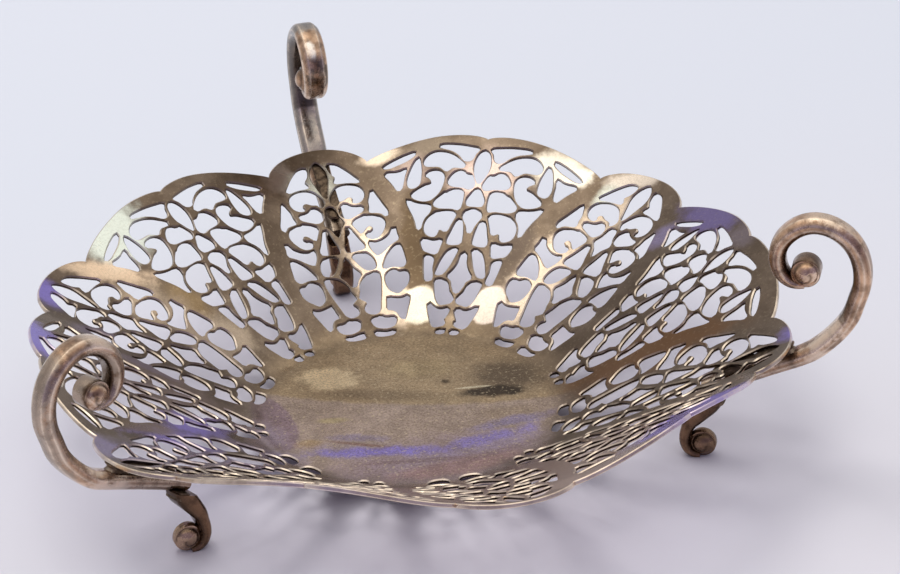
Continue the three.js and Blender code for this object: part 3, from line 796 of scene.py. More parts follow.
@dataclass
class PiercedSheet:
    """The dish itself: twelve pierced panels round a flat well."""

    outline_step: float = 0.55
    inner_step: float = 1.5
    kerf: float = 0.17
    uphill: float = 0.32
    edge_width: float = 0.25
    rim_edge: float = 0.2
    rim_wear_and_highlight: float = 0.8
    least_wear_and_highlight: float = 0.15
    band_steps: int = 44
    petal_rim_steps: int = 30
    lobe_rim_steps: int = 26
    petal_arc_steps: int = 14
    wide_arc_steps: int = 9
    well_rings: tuple[float, ...] = (1, 0.93, 0.85, 0.75, 0.63, 0.5, 0.36, 0.22, 0.1)
    wander: float = 0.12
    wander_length: float = 0.11
    wander_layers: tuple[float, float] = (5.3, 9.7)
    lift: float = 0.1
    lift_length: float = 0.055
    lift_from: tuple[float, float, float] = (7.0, 3.0, 1.0)
    sharp_degrees: float = 32
    weld: float = 0.004
    band_degrees: tuple[Polar, ...] = (
        (0, 18.0), (0.1, 18.0), (0.25, 18.4), (0.4, 17.6), (0.6, 15.2), (0.8, 11.7), (0.92, 9.6), (1, 8.8),
    )
    drawn_in: tuple[float, ...] = (0.25, 0.3, 0, 0, 0, 0, 0, 1.7, 0.3, 1.3, 0, 0)
    longer: tuple[float, ...] = (1.25, 0, 0, 0, 0, 0, -0.15, 0, 0, 0, 0.4, 0)
    longer_power: float = 1.2
    shell: Shell = field(default_factory=Shell)

    def build(self, material: bpy.types.Material) -> bpy.types.Object:
        """Builds and dresses the sheet.

        Args:
            material: its finish.

        Returns:
            The piece.
        """
        # edge marks the worn edges of cuts, which also carry painted highlight; cut marks the cut walls,
        # which carry painted shade
        self.shell.on_faces = {"edge": [], "cut": []}
        cut: dict[tuple[bool, float, float], FlatPanel] = {}
        for step, (pull, more) in enumerate(zip(self.drawn_in, self.longer)):
            kind = (step % 2 == 0, pull, more)
            if kind not in cut:
                cut[kind] = self._flat_panel(*kind)
            self._raise_panel(cut[kind], step * math.radians(FORM.panel_degrees))
        self._add_well()
        piece = self.shell.to_object("pierced_sheet", self.sharp_degrees, self.weld)
        piece.data.materials.append(material)
        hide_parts("pierced_dish")
        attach(piece, "root")
        return piece

    def _band_at(self, up: float) -> float:
        """Degrees from a petal's middle to the middle of its band, at a share of the height."""
        table = self.band_degrees
        for (low, a), (high, b) in zip(table, table[1:]):
            if up <= high:
                return a + (b - a) * max(0.0, up - low) / (high - low)
        return table[-1][1]

    def _side(self, of_petal: bool) -> list[Vector]:
        """The band's middle line from the rim inwards, in a panel's plan.

        Args:
            of_petal: whether the panel is a petal or a wide one.

        Returns:
            The line's points.
        """
        points = []
        outer = FORM.rim_radius - self.rim_edge
        for i in range(self.band_steps + 1):
            radius = outer + (FORM.well_radius - outer) * i / self.band_steps
            up = (radius - FORM.pierced_radius) / (FORM.rim_radius - FORM.pierced_radius)
            degrees = self._band_at(up) if i else FORM.notch_degrees
            if not of_petal:
                degrees = FORM.panel_degrees - degrees
            points.append(on_plan(radius, math.radians(degrees)))
        return points

    def _rim(self, of_petal: bool, more: float) -> list[Vector]:
        """The rim of a panel, as radius and angle, angles falling.

        Args:
            of_petal: whether it is a petal or a wide panel.
            more: how much further than usual a petal's tip reaches.

        Returns:
            The rim's points.
        """
        steps = self.petal_rim_steps if of_petal else self.lobe_rim_steps
        shares = [math.sin(math.pi * (i / steps - 0.5)) for i in range(steps + 1)]
        if of_petal:
            notch = math.radians(FORM.notch_degrees)
            extra = [more * (1 - share * share) ** self.longer_power for share in shares]
            return [Vector((FORM.petal_rim(k) + add, -k * notch)) for k, add in zip(shares, extra)]
        notch = math.radians(FORM.panel_degrees - FORM.notch_degrees)
        right = [Vector((FORM.lobe_rim(share), (1 - share) / 2 * notch)) for share in shares]
        left = [Vector((FORM.lobe_rim(-share), -(1 + share) / 2 * notch)) for share in shares]
        return right + left[1:]

    def _flat_panel(self, of_petal: bool, pull: float, more: float) -> FlatPanel:
        """Cuts one panel's plan into triangles.

        Args:
            of_petal: whether it is a petal or a wide panel.
            pull: how far its outermost openings lie in from their usual place.
            more: how much further than usual its tip reaches.

        Returns:
            Its plan.
        """
        rim = self._rim(of_petal, more)
        inset = [Vector((p.x - self.rim_edge, p.y)) for p in rim]
        side = self._side(of_petal)
        far = [Vector((p.x, -p.y)) for p in side]
        foot = polar(side[-1]).y
        steps = self.petal_arc_steps if of_petal else self.wide_arc_steps
        arc = [on_plan(FORM.well_radius, -foot + 2 * foot * i / steps) for i in range(1, steps)]
        border = [on_plan(*p) for p in inset] + far[1:] + arc + side[:0:-1]
        traced = (PETAL_PIERCING if of_petal else WIDE_PIERCING).loops(self.outline_step)
        traced = [loop if signed_area(loop) > 0 else loop[::-1] for loop in traced]
        span = FORM.rim_radius - FORM.pierced_radius
        for point in (point for loop in traced for point in loop):
            share = max(0.0, point.length - FORM.pierced_radius) / span
            point *= 1 - pull * share**2 / point.length
        cuts = widened(traced, self.kerf, self.uphill)
        shoulders = widened(cuts, self.edge_width)
        points, faces = cut_plan(border, shoulders, self.inner_step)
        cuts, shoulders = ([[polar(p) for p in loop] for loop in loops] for loops in (cuts, shoulders))
        return FlatPanel([polar(p) for p in points], faces, rim, inset, cuts, shoulders)

    def _settle(self, radius: float, angle: float, depth: float) -> Vector:
        """A point of the sheet, moved a little as by hand, in the part's frame.

        Args:
            radius: distance from the dish's middle in plan.
            angle: where it lies about the middle.
            depth: how far below the top face it lies.

        Returns:
            The point.
        """
        flat = on_plan(radius, angle).to_3d()
        loose = self.wander * min(1.0, radius / FORM.well_radius)
        layers = [flat * self.wander_length + Vector((0.0, 0.0, layer)) for layer in self.wander_layers]
        moved = flat + Vector((*(noise.noise(place) * loose for place in layers), 0.0))
        place = FORM.point(moved.length, math.atan2(moved.y, moved.x), depth)
        place.z += noise.noise(flat * self.lift_length + Vector(self.lift_from)) * self.lift
        return Matrix.Rotation(math.pi / 2, 3, "Z") @ place

    def _row(self, points: Sequence[Vector], middle: float, depth: float) -> list[int]:
        """Adds points given as radius and angle, in the panel about a middle, and numbers them."""
        return self.shell.add_corners([self._settle(p.x, p.y + middle, depth) for p in points])

    def _paint(self, band: Band, count: int, rubbed: Sequence[float] = ()) -> None:
        """Paints the last faces added."""
        self.shell.on_faces["edge"] += rubbed[:count] if band is Band.EDGE else [0.0] * count
        self.shell.on_faces["cut"] += [1.0 if band is Band.CUT else 0.0] * count

    def _raise_panel(self, flat: FlatPanel, middle: float) -> None:
        """Bends a flat panel into its place on the dish, with both its faces and its cut edges.

        Args:
            flat: the panel in plan.
            middle: the angle of its middle on the dish.
        """
        for depth, order in ((0.0, (0, 1, 2)), (FORM.thickness, (0, 2, 1))):
            index = self._row(flat.points, middle, depth)
            self.shell.faces += [tuple(index[face[k]] for k in order) for face in flat.faces]
            self._paint(Band.PLAIN, len(flat.faces))
        self._edge_wall(flat.inset, flat.rim, self.rim_edge, middle, closed=False)
        # the rim's edge is painted in the worn colour all along: wear and painted highlight on the rim line
        bright = 3 * (len(flat.rim) - 1)
        self.shell.on_faces["edge"][-bright:] = [self.rim_wear_and_highlight] * bright
        self.shell.on_faces["cut"][-bright:] = [0.0] * bright
        for cut, shoulder in zip(flat.cuts, flat.shoulders):
            self._edge_wall(shoulder, cut, self.edge_width, middle, closed=True)

    def _edge_wall(
        self, shoulder: Sequence[Vector], cut: Sequence[Vector], soft: float, middle: float, closed: bool
    ) -> None:
        """The wall of a cut, with a worn edge at each face of the sheet; the edges also carry painted
        highlight where they face up the wall, and the wall between them carries painted shade.
            cut: the outline of the cut itself.
            soft: how deep each worn edge reaches.
            middle: the angle of the panel's middle on the dish.
            closed: whether the outlines close on themselves.
        """
        depths = ((shoulder, 0.0), (cut, soft), (cut, FORM.thickness - soft), (shoulder, FORM.thickness))
        rows = [self._row(loop, middle, depth) for loop, depth in depths]
        more = 1 - self.least_wear_and_highlight
        # painted highlight on the edges, over a least amount of wear
        rubbed = [self.least_wear_and_highlight + more * edge_highlight_share(a, b) for a, b in zip(shoulder, cut)]
        for above, below, band in zip(rows, rows[1:], (Band.EDGE, Band.CUT, Band.EDGE)):
            before = len(self.shell.faces)
            self.shell.strip(above, below, closed)
            self._paint(band, len(self.shell.faces) - before, rubbed)

    def _add_well(self) -> None:
        """The flat well inside the panels: rings that close on a small disc."""
        angles = []
        foot = math.radians(self._band_at(0))
        wide_foot = math.radians(FORM.panel_degrees) - foot
        for turn in range(FORM.petals):
            start = turn * TURN / FORM.petals
            for first, half, steps in (
                (start - foot, foot, self.petal_arc_steps),
                (start + foot, wide_foot, self.wide_arc_steps),
            ):
                angles += [first + 2 * half * i / steps for i in range(steps)]
        for depth in (0.0, FORM.thickness):
            before = len(self.shell.faces)
            rows = []
            for share in self.well_rings:
                rows.append(self._row([Vector((FORM.well_radius * share, a)) for a in angles], 0.0, depth))
            for outer, inner in zip(rows, rows[1:]):
                self.shell.strip(outer, inner, closed=True)
            self.shell.faces.append(tuple(rows[-1]))
            self._paint(Band.PLAIN, len(self.shell.faces) - before)


def edge_highlight_share(shoulder: Vector, cut: Vector) -> float:
    """How much painted highlight, over the wear, a cut's edge gets: how far it faces up the wall, from two
    points as radius and angle.
    """
    level, tilt = 0.4, 0.75
    out = Vector((shoulder.x - cut.x, (shoulder.y - cut.y) * cut.x)).normalized()
    return min(1.0, max(0.0, level - tilt * out.x))


def nearby(points: Sequence[Vector]) -> KDTree:
    """A search tree over plan points."""
    tree = KDTree(len(points))
    for i, point in enumerate(points):
        tree.insert(point.to_3d(), i)
    tree.balance()
    return tree


def widened(loops: Sequence[Sequence[Vector]], width: float, uphill: float = 0.0) -> list[list[Vector]]:
    """Closed anticlockwise loops grown outwards, or less where the metal is narrow.

    Args:
        loops: outlines in the plan of a panel whose middle lies along +X.
        width: how far they grow.
        uphill: how much further their outer sides go.

    Returns:
        The grown loops.
    """
    bar_share, least_across, search = 0.34, 0.5, 3 * (width + uphill)
    plain_rim, fade = 4, 8
    outward = []
    for loop in loops:
        for i in range(len(loop)):
            along = loop[(i + 1) % len(loop)] - loop[i - 1]
            outward.append(Vector((along.y, -along.x, 0.0)).normalized())
    near = nearby([point for loop in loops for point in loop])
    directions = iter(outward)
    grown = []
    for loop in loops:
        ring = []
        for point, out in zip(loop, directions):
            here = point.to_3d()
            clear = min(1.0, max(0.0, (FORM.rim_radius - plain_rim - point.length) / fade))
            room = width + uphill * max(0.0, out.x) * clear
            for place, index, far in near.find_range(here, search):
                across = (place - here).dot(out)
                if outward[index].dot(out) < 0 < across:
                    room = min(room, bar_share * max(across, least_across * far))
            ring.append(point + out.to_2d() * room)
        grown.append(ring)
    return grown


def cut_plan(
    border: Sequence[Vector], holes: Sequence[Sequence[Vector]], spacing: float
) -> tuple[list[Vector], list[tuple[int, int, int]]]:
    """Cuts a flat shape with holes into even triangles.

    Args:
        border: its outline.
        holes: the outlines of its holes.
        spacing: distance between the points added inside.

    Returns:
        The points and the triangles, which run anticlockwise.
    """
    row_share, clear_share = 0.87, 0.42
    points: list[Vector] = []
    edges: list[tuple[int, int]] = []
    for loop in (border, *holes):
        first = len(points)
        points += loop
        edges += [(first + i, first + (i + 1) % len(loop)) for i in range(len(loop))]
    on_loops = len(points)
    near = nearby(points)
    boxes = [spans(hole) for hole in holes]

    def in_metal(spot: Vector) -> bool:
        """True where a point lies in no hole."""
        return not any(
            b[0] < spot.x < b[1] and b[2] < spot.y < b[3] and inside(spot, h) for b, h in zip(boxes, holes)
        )

    low_x, high_x, y, high_y = spans(border)
    row = 0
    while y < high_y:
        x = low_x + (spacing / 2 if row % 2 else 0)
        while x < high_x:
            spot = Vector((x, y))
            x += spacing
            clear = near.find(spot.to_3d())[2] >= spacing * clear_share
            if clear and inside(spot, border) and in_metal(spot):
                points.append(spot)
        row += 1
        y += spacing * row_share
    cut = delaunay_2d_cdt(points, edges, [], 0, 1e-7)
    made = [Vector(p) for p in cut[0]]
    free = {i for i, ids in enumerate(cut[3]) if ids and min(ids) >= on_loops}
    faces = []
    for face in cut[2]:
        middle = sum((made[i] for i in face), Vector((0.0, 0.0))) / 3
        if not free.isdisjoint(face) or (inside(middle, border) and in_metal(middle)):
            faces.append(tuple(face))
    return made, faces


def spans(loop: Sequence[Vector]) -> tuple[float, float, float, float]:
    """A loop's least and most X, and its least and most Y."""
    across, up = [p.x for p in loop], [p.y for p in loop]
    return min(across), max(across), min(up), max(up)


class Curve:
    """A smooth open curve in the XZ plane through given points."""

    def __init__(self, points: Sequence[Vector]) -> None:
        """Keeps the points, with one more beyond each end."""
        first = points[0] * 2 - points[1]
        last = points[-1] * 2 - points[-2]
        self.points = [first, *points, last]
        self.pieces = len(points) - 1

    def at(self, share: float) -> Vector:
        """The point at a share of the way."""
        place = min(max(share, 0.0), 1.0) * self.pieces
        k = min(int(place), self.pieces - 1)
        return curve_point(self.points[k : k + 4], place - k)

    def heading(self, share: float) -> Vector:
        """The direction at a share of the way."""
        step = 1e-4
        return (self.at(share + step) - self.at(share - step)).normalized()


def filed_section(
    thick: float, wide: float, bevel: float, soften: float
) -> list[tuple[float, float, float]]:
    """Section of a filed bar: eight flats with softened ridges.

    Args:
        thick: half thickness.
        wide: half width.
        bevel: how much is filed off each corner.
        soften: how far a ridge is rubbed back.

    Returns:
        Rows of height, sideways place and how much of a ridge the point is.
    """
    rounding, beside, crown, deepest, widest = 0.35, 0.35, 1.015, 0.7, 0.3
    cut = min(bevel, thick * deepest)
    rim = [
        (thick, cut - wide), (thick, wide - cut), (thick - cut, wide), (cut - thick, wide),
        (-thick, wide - cut), (-thick, cut - wide), (cut - thick, -wide), (thick - cut, -wide),
    ]
    rim = [Vector(point) for point in rim]
    rows = []
    for k, corner in enumerate(rim):
        before, after = rim[k - 1], rim[(k + 1) % len(rim)]
        back, on = before - corner, after - corner
        rows += [
            (*(corner + back.normalized() * min(soften, back.length * widest)), beside),
            (*(corner + (back + on).normalized() * soften * rounding), 1.0),
            (*(corner + on.normalized() * min(soften, on.length * widest)), beside),
            (*((corner + after) / 2 * crown), 0.0),
        ]
    return rows


@dataclass
class Bar:
    """A bar swept along a curve in the XZ plane, its width along Y."""

    curve: Curve
    rows: Sequence[tuple[float, float]]
    thickness: float
    width: float
    bevel: float
    steps: int
    soften: float = 0.3
    hollow_from: float = 0.0

    def size_at(self, share: float) -> tuple[float, float]:
        """Thickness and width at a share of the way."""
        place = share * (len(self.rows) - 1)
        k = min(int(place), len(self.rows) - 2)
        mix = place - k
        thick, wide = (self.rows[k][i] * (1 - mix) + self.rows[k + 1][i] * mix for i in (0, 1))
        return self.thickness * thick, self.width * wide

    def sweep(self, shell: Shell) -> None:
        """Adds the bar to a shell.

        Args:
            shell: what it is added to, with its paints.
        """
        ridge, hollow, rolled = (shell.on_corners.setdefault(name, []) for name in PAINTS)
        rings = []
        for i in range(self.steps + 1):
            share = i / self.steps
            middle, along = self.curve.at(share), self.curve.heading(share)
            side = Vector((-along.z, 0.0, along.x))
            thick, wide = (size / 2 for size in self.size_at(share))
            section = filed_section(thick, wide, self.bevel, self.soften)
            points = [middle + side * up + Vector((0.0, out, 0.0)) for up, out, _ in section]
            rings.append(shell.add_corners(points))
            ridge += [row[2] for row in section]
            # painted shade on the side of the bar that faces into its curl, from hollow_from on
            inner = 1.0 if share > self.hollow_from else 0.0
            hollow += [inner * max(0.0, row[0] / thick) for row in section]
            rolled += [0.0] * len(section)
        shell.close_ends(rings)


@dataclass
class Roll:
    """A rolled end about the Y axis, with a domed button inside a spiral line on each face."""

    centre: Vector
    radius: float
    length: float
    dome: float = 0.5
    dome_power: float = 0.8
    button: float = 0.86
    edge_drop: float = 0.3
    side_from: float = 0.93
    side_shade: float = 0.7
    groove: float = 0.16
    groove_width: float = 0.26
    spiral_outer: float = 0.96
    spiral_in: float = 0.62
    turns: float = 1.1
    rubbed: float = 1.0
    around: int = 56
    groove_dark: float = 0.9
    button_rubbed: float = 0.6
    shares: tuple[float, ...] = (
        1, 0.985, 0.955, 0.92, 0.87, 0.82, 0.77, 0.73, 0.69,
        0.64, 0.58, 0.52, 0.45, 0.38, 0.3, 0.22, 0.14, 0.07,
    )

    def face_height(self, out: float) -> float:
        """How far a face stands out at a share of the radius."""
        if out > self.button:
            edge = (out - self.button) / (1 - self.button)
            return -self.edge_drop * (1 - math.sqrt(max(0.0, 1 - edge * edge)))
        rounded = math.cos(out / self.button * math.pi / 2)
        return self.dome * self.radius * rounded**self.dome_power

    def spiral_cut(self, out: float, angle: float) -> float:
        """How deep the spiral line is at a place on a face, as a share of its depth."""
        far = self.radius
        for turn in range(int(self.turns) + 2):
            share = (angle / TURN + turn) / self.turns
            if share <= 1:
                far = min(far, abs(out - self.radius * (self.spiral_outer - self.spiral_in * share)))
        return math.exp(-((far / self.groove_width) ** 2))

    def add(self, shell: Shell) -> None:
        """Adds the roll to a shell.

        Args:
            shell: what it is added to, with its paints.
        """
        ridge, hollow, rolled = (shell.on_corners.setdefault(name, []) for name in PAINTS)
        ends = []
        for face in (-1, 1):
            rings = []
            for share in self.shares:
                ring = []
                out = share * self.radius
                for k in range(self.around):
                    angle = TURN * k / self.around
                    cut = self.spiral_cut(out, angle)
                    stand = self.length / 2 + self.face_height(share) - self.groove * cut
                    place = Vector((out * math.cos(angle), face * stand, out * math.sin(angle)))
                    ring.append(self.centre + place)
                    # painted shade on the roll's side; the spiral groove is darkened
                    hollow.append(self.side_shade if share > self.side_from else self.groove_dark * cut)
                ridge += [self.button_rubbed * max(0.0, 1 - share * 2)] * self.around
                rolled += [self.rubbed] * self.around
                rings.append(shell.add_corners(ring))
            for a, b in zip(rings, rings[1:]):
                shell.strip(a, b, closed=True)
            shell.faces.append(tuple(rings[-1]))
            ends.append(rings[0])
        shell.strip(ends[0], ends[1], closed=True)


def on_curl(eye: Vector, degrees: float, distance: float) -> Vector:
    """A point of a curl about its eye."""
    angle = math.radians(degrees)
    return Vector((eye.x + distance * math.cos(angle), 0.0, eye.z + distance * math.sin(angle)))


def turned_to(degrees: float) -> Matrix:
    """The turn that takes +X to an azimuth."""
    return Matrix.Rotation(math.radians(degrees), 3, "Z")


@dataclass
class ScrollHandle:
    """A handle: a strap beneath a petal that rises past the rim and rolls up into a knob."""

    number: int
    azimuth: float
    eye_up: float
    width: float
    thickness: float = 3.6
    bevel: float = 1.2
    inner_radius: float = 59.9
    depth: float = 3.8
    scroll: float = 11.1
    eye_out: float = 0.083
    knob_radius: float = 2.95
    knob_length: float = 4.2
    steps: int = 170
    # where the painted shade on the curl's inner side begins, as a share of the way
    hollow_from: float = 0.3
    sharp_degrees: float = 50
    strap_widths: tuple[float, ...] = (0.9, 0.8, 0.78, 0.85, 0.95)
    # Angle about the eye, distance from it, thickness and width.
    curl: tuple = (
        (-83, 1.583, 1, 1), (-65, 1.327, 1, 1), (-47, 1.166, 1, 1), (-31, 1.047, 1, 1), (-10, 1.005, 1, 1),
        (11, 0.989, 1, 1), (30, 0.99, 1, 1), (49, 0.986, 1, 1), (68, 0.966, 1, 1), (85, 0.922, 1, 1),
        (103, 0.833, 1, 1), (126, 0.712, 0.98, 0.99), (147, 0.605, 0.95, 0.97), (169, 0.506, 0.9, 0.94),
        (192, 0.423, 0.82, 0.9), (217, 0.348, 0.7, 0.86), (241, 0.282, 0.58, 0.82), (265, 0.241, 0.48, 0.8),
    )

    def build(self, material: bpy.types.Material) -> bpy.types.Object:
        """Builds and dresses the handle.

        Args:
            material: its finish.

        Returns:
            The piece.
        """
        last = len(self.strap_widths) - 1
        run = FORM.strap_reach - self.inner_radius
        strap = [FORM.point(self.inner_radius + run * k / last, 0.0, self.depth) for k in range(last + 1)]
        tip = strap[-1]
        eye = Vector((tip.x + self.eye_out * self.scroll, 0.0, tip.z + self.eye_up * self.scroll))
        scroll = [on_curl(eye, degrees, share * self.scroll) for degrees, share, _, _ in self.curl]
        rows = [(1.0, share) for share in self.strap_widths] + [row[2:] for row in self.curl]
        shell = Shell()
        bar = Bar(Curve(strap + scroll), rows, self.thickness, self.width, self.bevel, self.steps)
        bar.hollow_from = self.hollow_from
        bar.sweep(shell)
        Roll(eye, self.knob_radius, self.knob_length).add(shell)
        shell.turn(self.azimuth)
        piece = shell.to_object(f"handle_{self.number}", self.sharp_degrees)
        piece.data.materials.append(material)
        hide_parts(f"scroll_handle_{self.number}")
        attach(piece, "root")
        return piece


@dataclass
class ScrollFoot:
    """A foot: a stem from beneath a strap that curls under a ball."""

    number: int
    azimuth: float
    inset_share: float
    twist: float
    rubbed: float
    width: float = 5.0
    thickness: float = 2.6
    bevel: float = 0.7
    soften: float = 0.25
    seat_radius: float = 62.0
    top_depth: float = 5.62
    inset: float = 1.6
    roll: float = 3.3
    flat: float = 0.35
    ball_radius: float = 2.8
    ball_length: float = 2.1
    steps: int = 80
    sharp_degrees: float = 50
    # Shares of the inset and the roll outwards and of the rise, thickness and width.
    stem: tuple = (
        (1, -0.22, 1.2, 1.65, 0.9), (1, -0.22, 1.03, 1.65, 0.9), (0.8, -0.26, 0.89, 1.6, 0.92),
        (0.6, -0.36, 0.78, 1.5, 0.95), (0.3, -0.6, 0.6, 1.3, 1), (0.1, -0.82, 0.445, 1.12, 1),
    )
    curl: tuple = (
        (134, 1.34, 0.95, 0.98), (156, 1.14, 0.9, 0.96), (180, 1.04, 0.82, 0.92),
        (208, 0.98, 0.72, 0.86), (236, 0.87, 0.62, 0.8), (263, 0.78, 0.55, 0.74),
    )

    def build(self, material: bpy.types.Material) -> bpy.types.Object:
        """Builds and dresses the foot.

        Args:
            material: its finish.

        Returns:
            The piece.
        """
        seat = FORM.point(self.seat_radius, 0.0, self.top_depth)
        inset = self.inset * self.inset_share
        eye = Vector((seat.x - inset, 0.0, FORM.table + self.roll - self.flat))
        rise = seat.z - eye.z
        stem = [
            Vector((eye.x + towards * inset + out * self.roll, 0.0, eye.z + up * rise))
            for towards, out, up, _, _ in self.stem
        ]
        curl = [on_curl(eye, degrees, share * self.roll) for degrees, share, _, _ in self.curl]
        rows = [row[-2:] for row in self.stem + self.curl]
        shell = Shell()
        curve = Curve(stem + curl)
        # the foot's bar has painted shade on its inner side all along
        Bar(curve, rows, self.thickness, self.width, self.bevel, self.steps, self.soften).sweep(shell)
        ball = Roll(eye, self.ball_radius, self.ball_length, dome=0.45, side_shade=0.1, groove=0.2)
        ball.turns, ball.rubbed = 1.0, self.rubbed
        ball.add(shell)
        slope = FORM.slope(self.seat_radius, 0.0)[1]
        for corner in shell.corners:
            ceiling = seat.z + slope * (corner.x - seat.x)
            corner.z = min(max(corner.z, FORM.table), ceiling)
            lowered = min(1.0, max(0.0, (seat.z - corner.z) / rise))
            offset = Vector((corner.x - eye.x, corner.y, 0.0))
            turned = turned_to(self.twist * lowered) @ offset
            corner.x, corner.y = eye.x + turned.x, turned.y
        shell.turn(self.azimuth)
        piece = shell.to_object(f"foot_{self.number}", self.sharp_degrees)
        piece.data.materials.append(material)
        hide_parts(f"scroll_foot_{self.number}")
        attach(piece, "root")
        return piece


@dataclass
class SolderSeam:
    """Solder that fills a seam, hollow at its sides and rounded at its ends."""

    name: str
    node: str
    azimuth: float
    near: float
    far: float
    top: float
    bottom: float
    top_width: float
    waist_width: float
    bottom_width: float
    steps: int = 16
    end_power: float = 8
    sharp_degrees: float = 60
    weld: float = 0.002

    def build(self, material: bpy.types.Material) -> bpy.types.Object:
        """Builds and dresses the seam.

        Args:
            material: its finish.

        Returns:
            The piece.
        """
        shell = Shell()
        above, below = self.top_width - self.waist_width, self.bottom_width - self.waist_width
        rings = []
        flares = ((0, above), (0.22, 0.45 * above), (0.5, 0), (0.78, 0.45 * below), (1, below))
        for level, flare in flares:
            depth = self.top + (self.bottom - self.top) * level
            middle, half = (self.near + self.far) / 2, (self.far - self.near + flare) / 2
            ring = []
            for side in (1, -1):
                for i in range(self.steps + 1):
                    share = math.sin(math.pi / 2 * (i / self.steps * 2 - 1)) * side
                    place = FORM.point(middle + half * share, 0.0, depth)
                    end = max(0.0, 1 - share**self.end_power) ** 0.5
                    place.y = side * (self.waist_width + flare) / 2 * end
                    ring.append(place)
            rings.append(shell.add_corners(ring))
        shell.close_ends(rings)
        shell.turn(self.azimuth)
        piece = shell.to_object(self.name, self.sharp_degrees, self.weld)
        piece.data.materials.append(material)
        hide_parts(self.node)
        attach(piece, "root")
        return piece


def direction(azimuth: float, elevation: float) -> Vector:
    """The unit vector towards an azimuth and an elevation in degrees."""
    flat = math.cos(math.radians(elevation))
    angle = math.radians(azimuth)
    return Vector((flat * math.cos(angle), flat * math.sin(angle), math.sin(math.radians(elevation))))


@dataclass(frozen=True)
class Lamp:
    """A soft rectangular lamp that faces a point."""

    name: str
    azimuth: float
    elevation: float
    distance: float
    size: tuple[float, float]
    power: float
    colour: tuple[float, float, float] = (1.0, 1.0, 1.0)

    def place(self) -> None:
        """Adds the lamp to the scene."""
        data = bpy.data.lights.new(self.name, "AREA")
        data.shape = "RECTANGLE"
        data.size, data.size_y = self.size
        data.energy = self.power
        data.color = self.colour
        lamp = bpy.data.objects.new(self.name, data)
        lamp.visible_glossy = False
        way = direction(self.azimuth, self.elevation)
        lamp.location = way * self.distance
        lamp.rotation_euler = way.to_track_quat("Z", "Y").to_euler()
        bpy.context.scene.collection.objects.link(lamp)


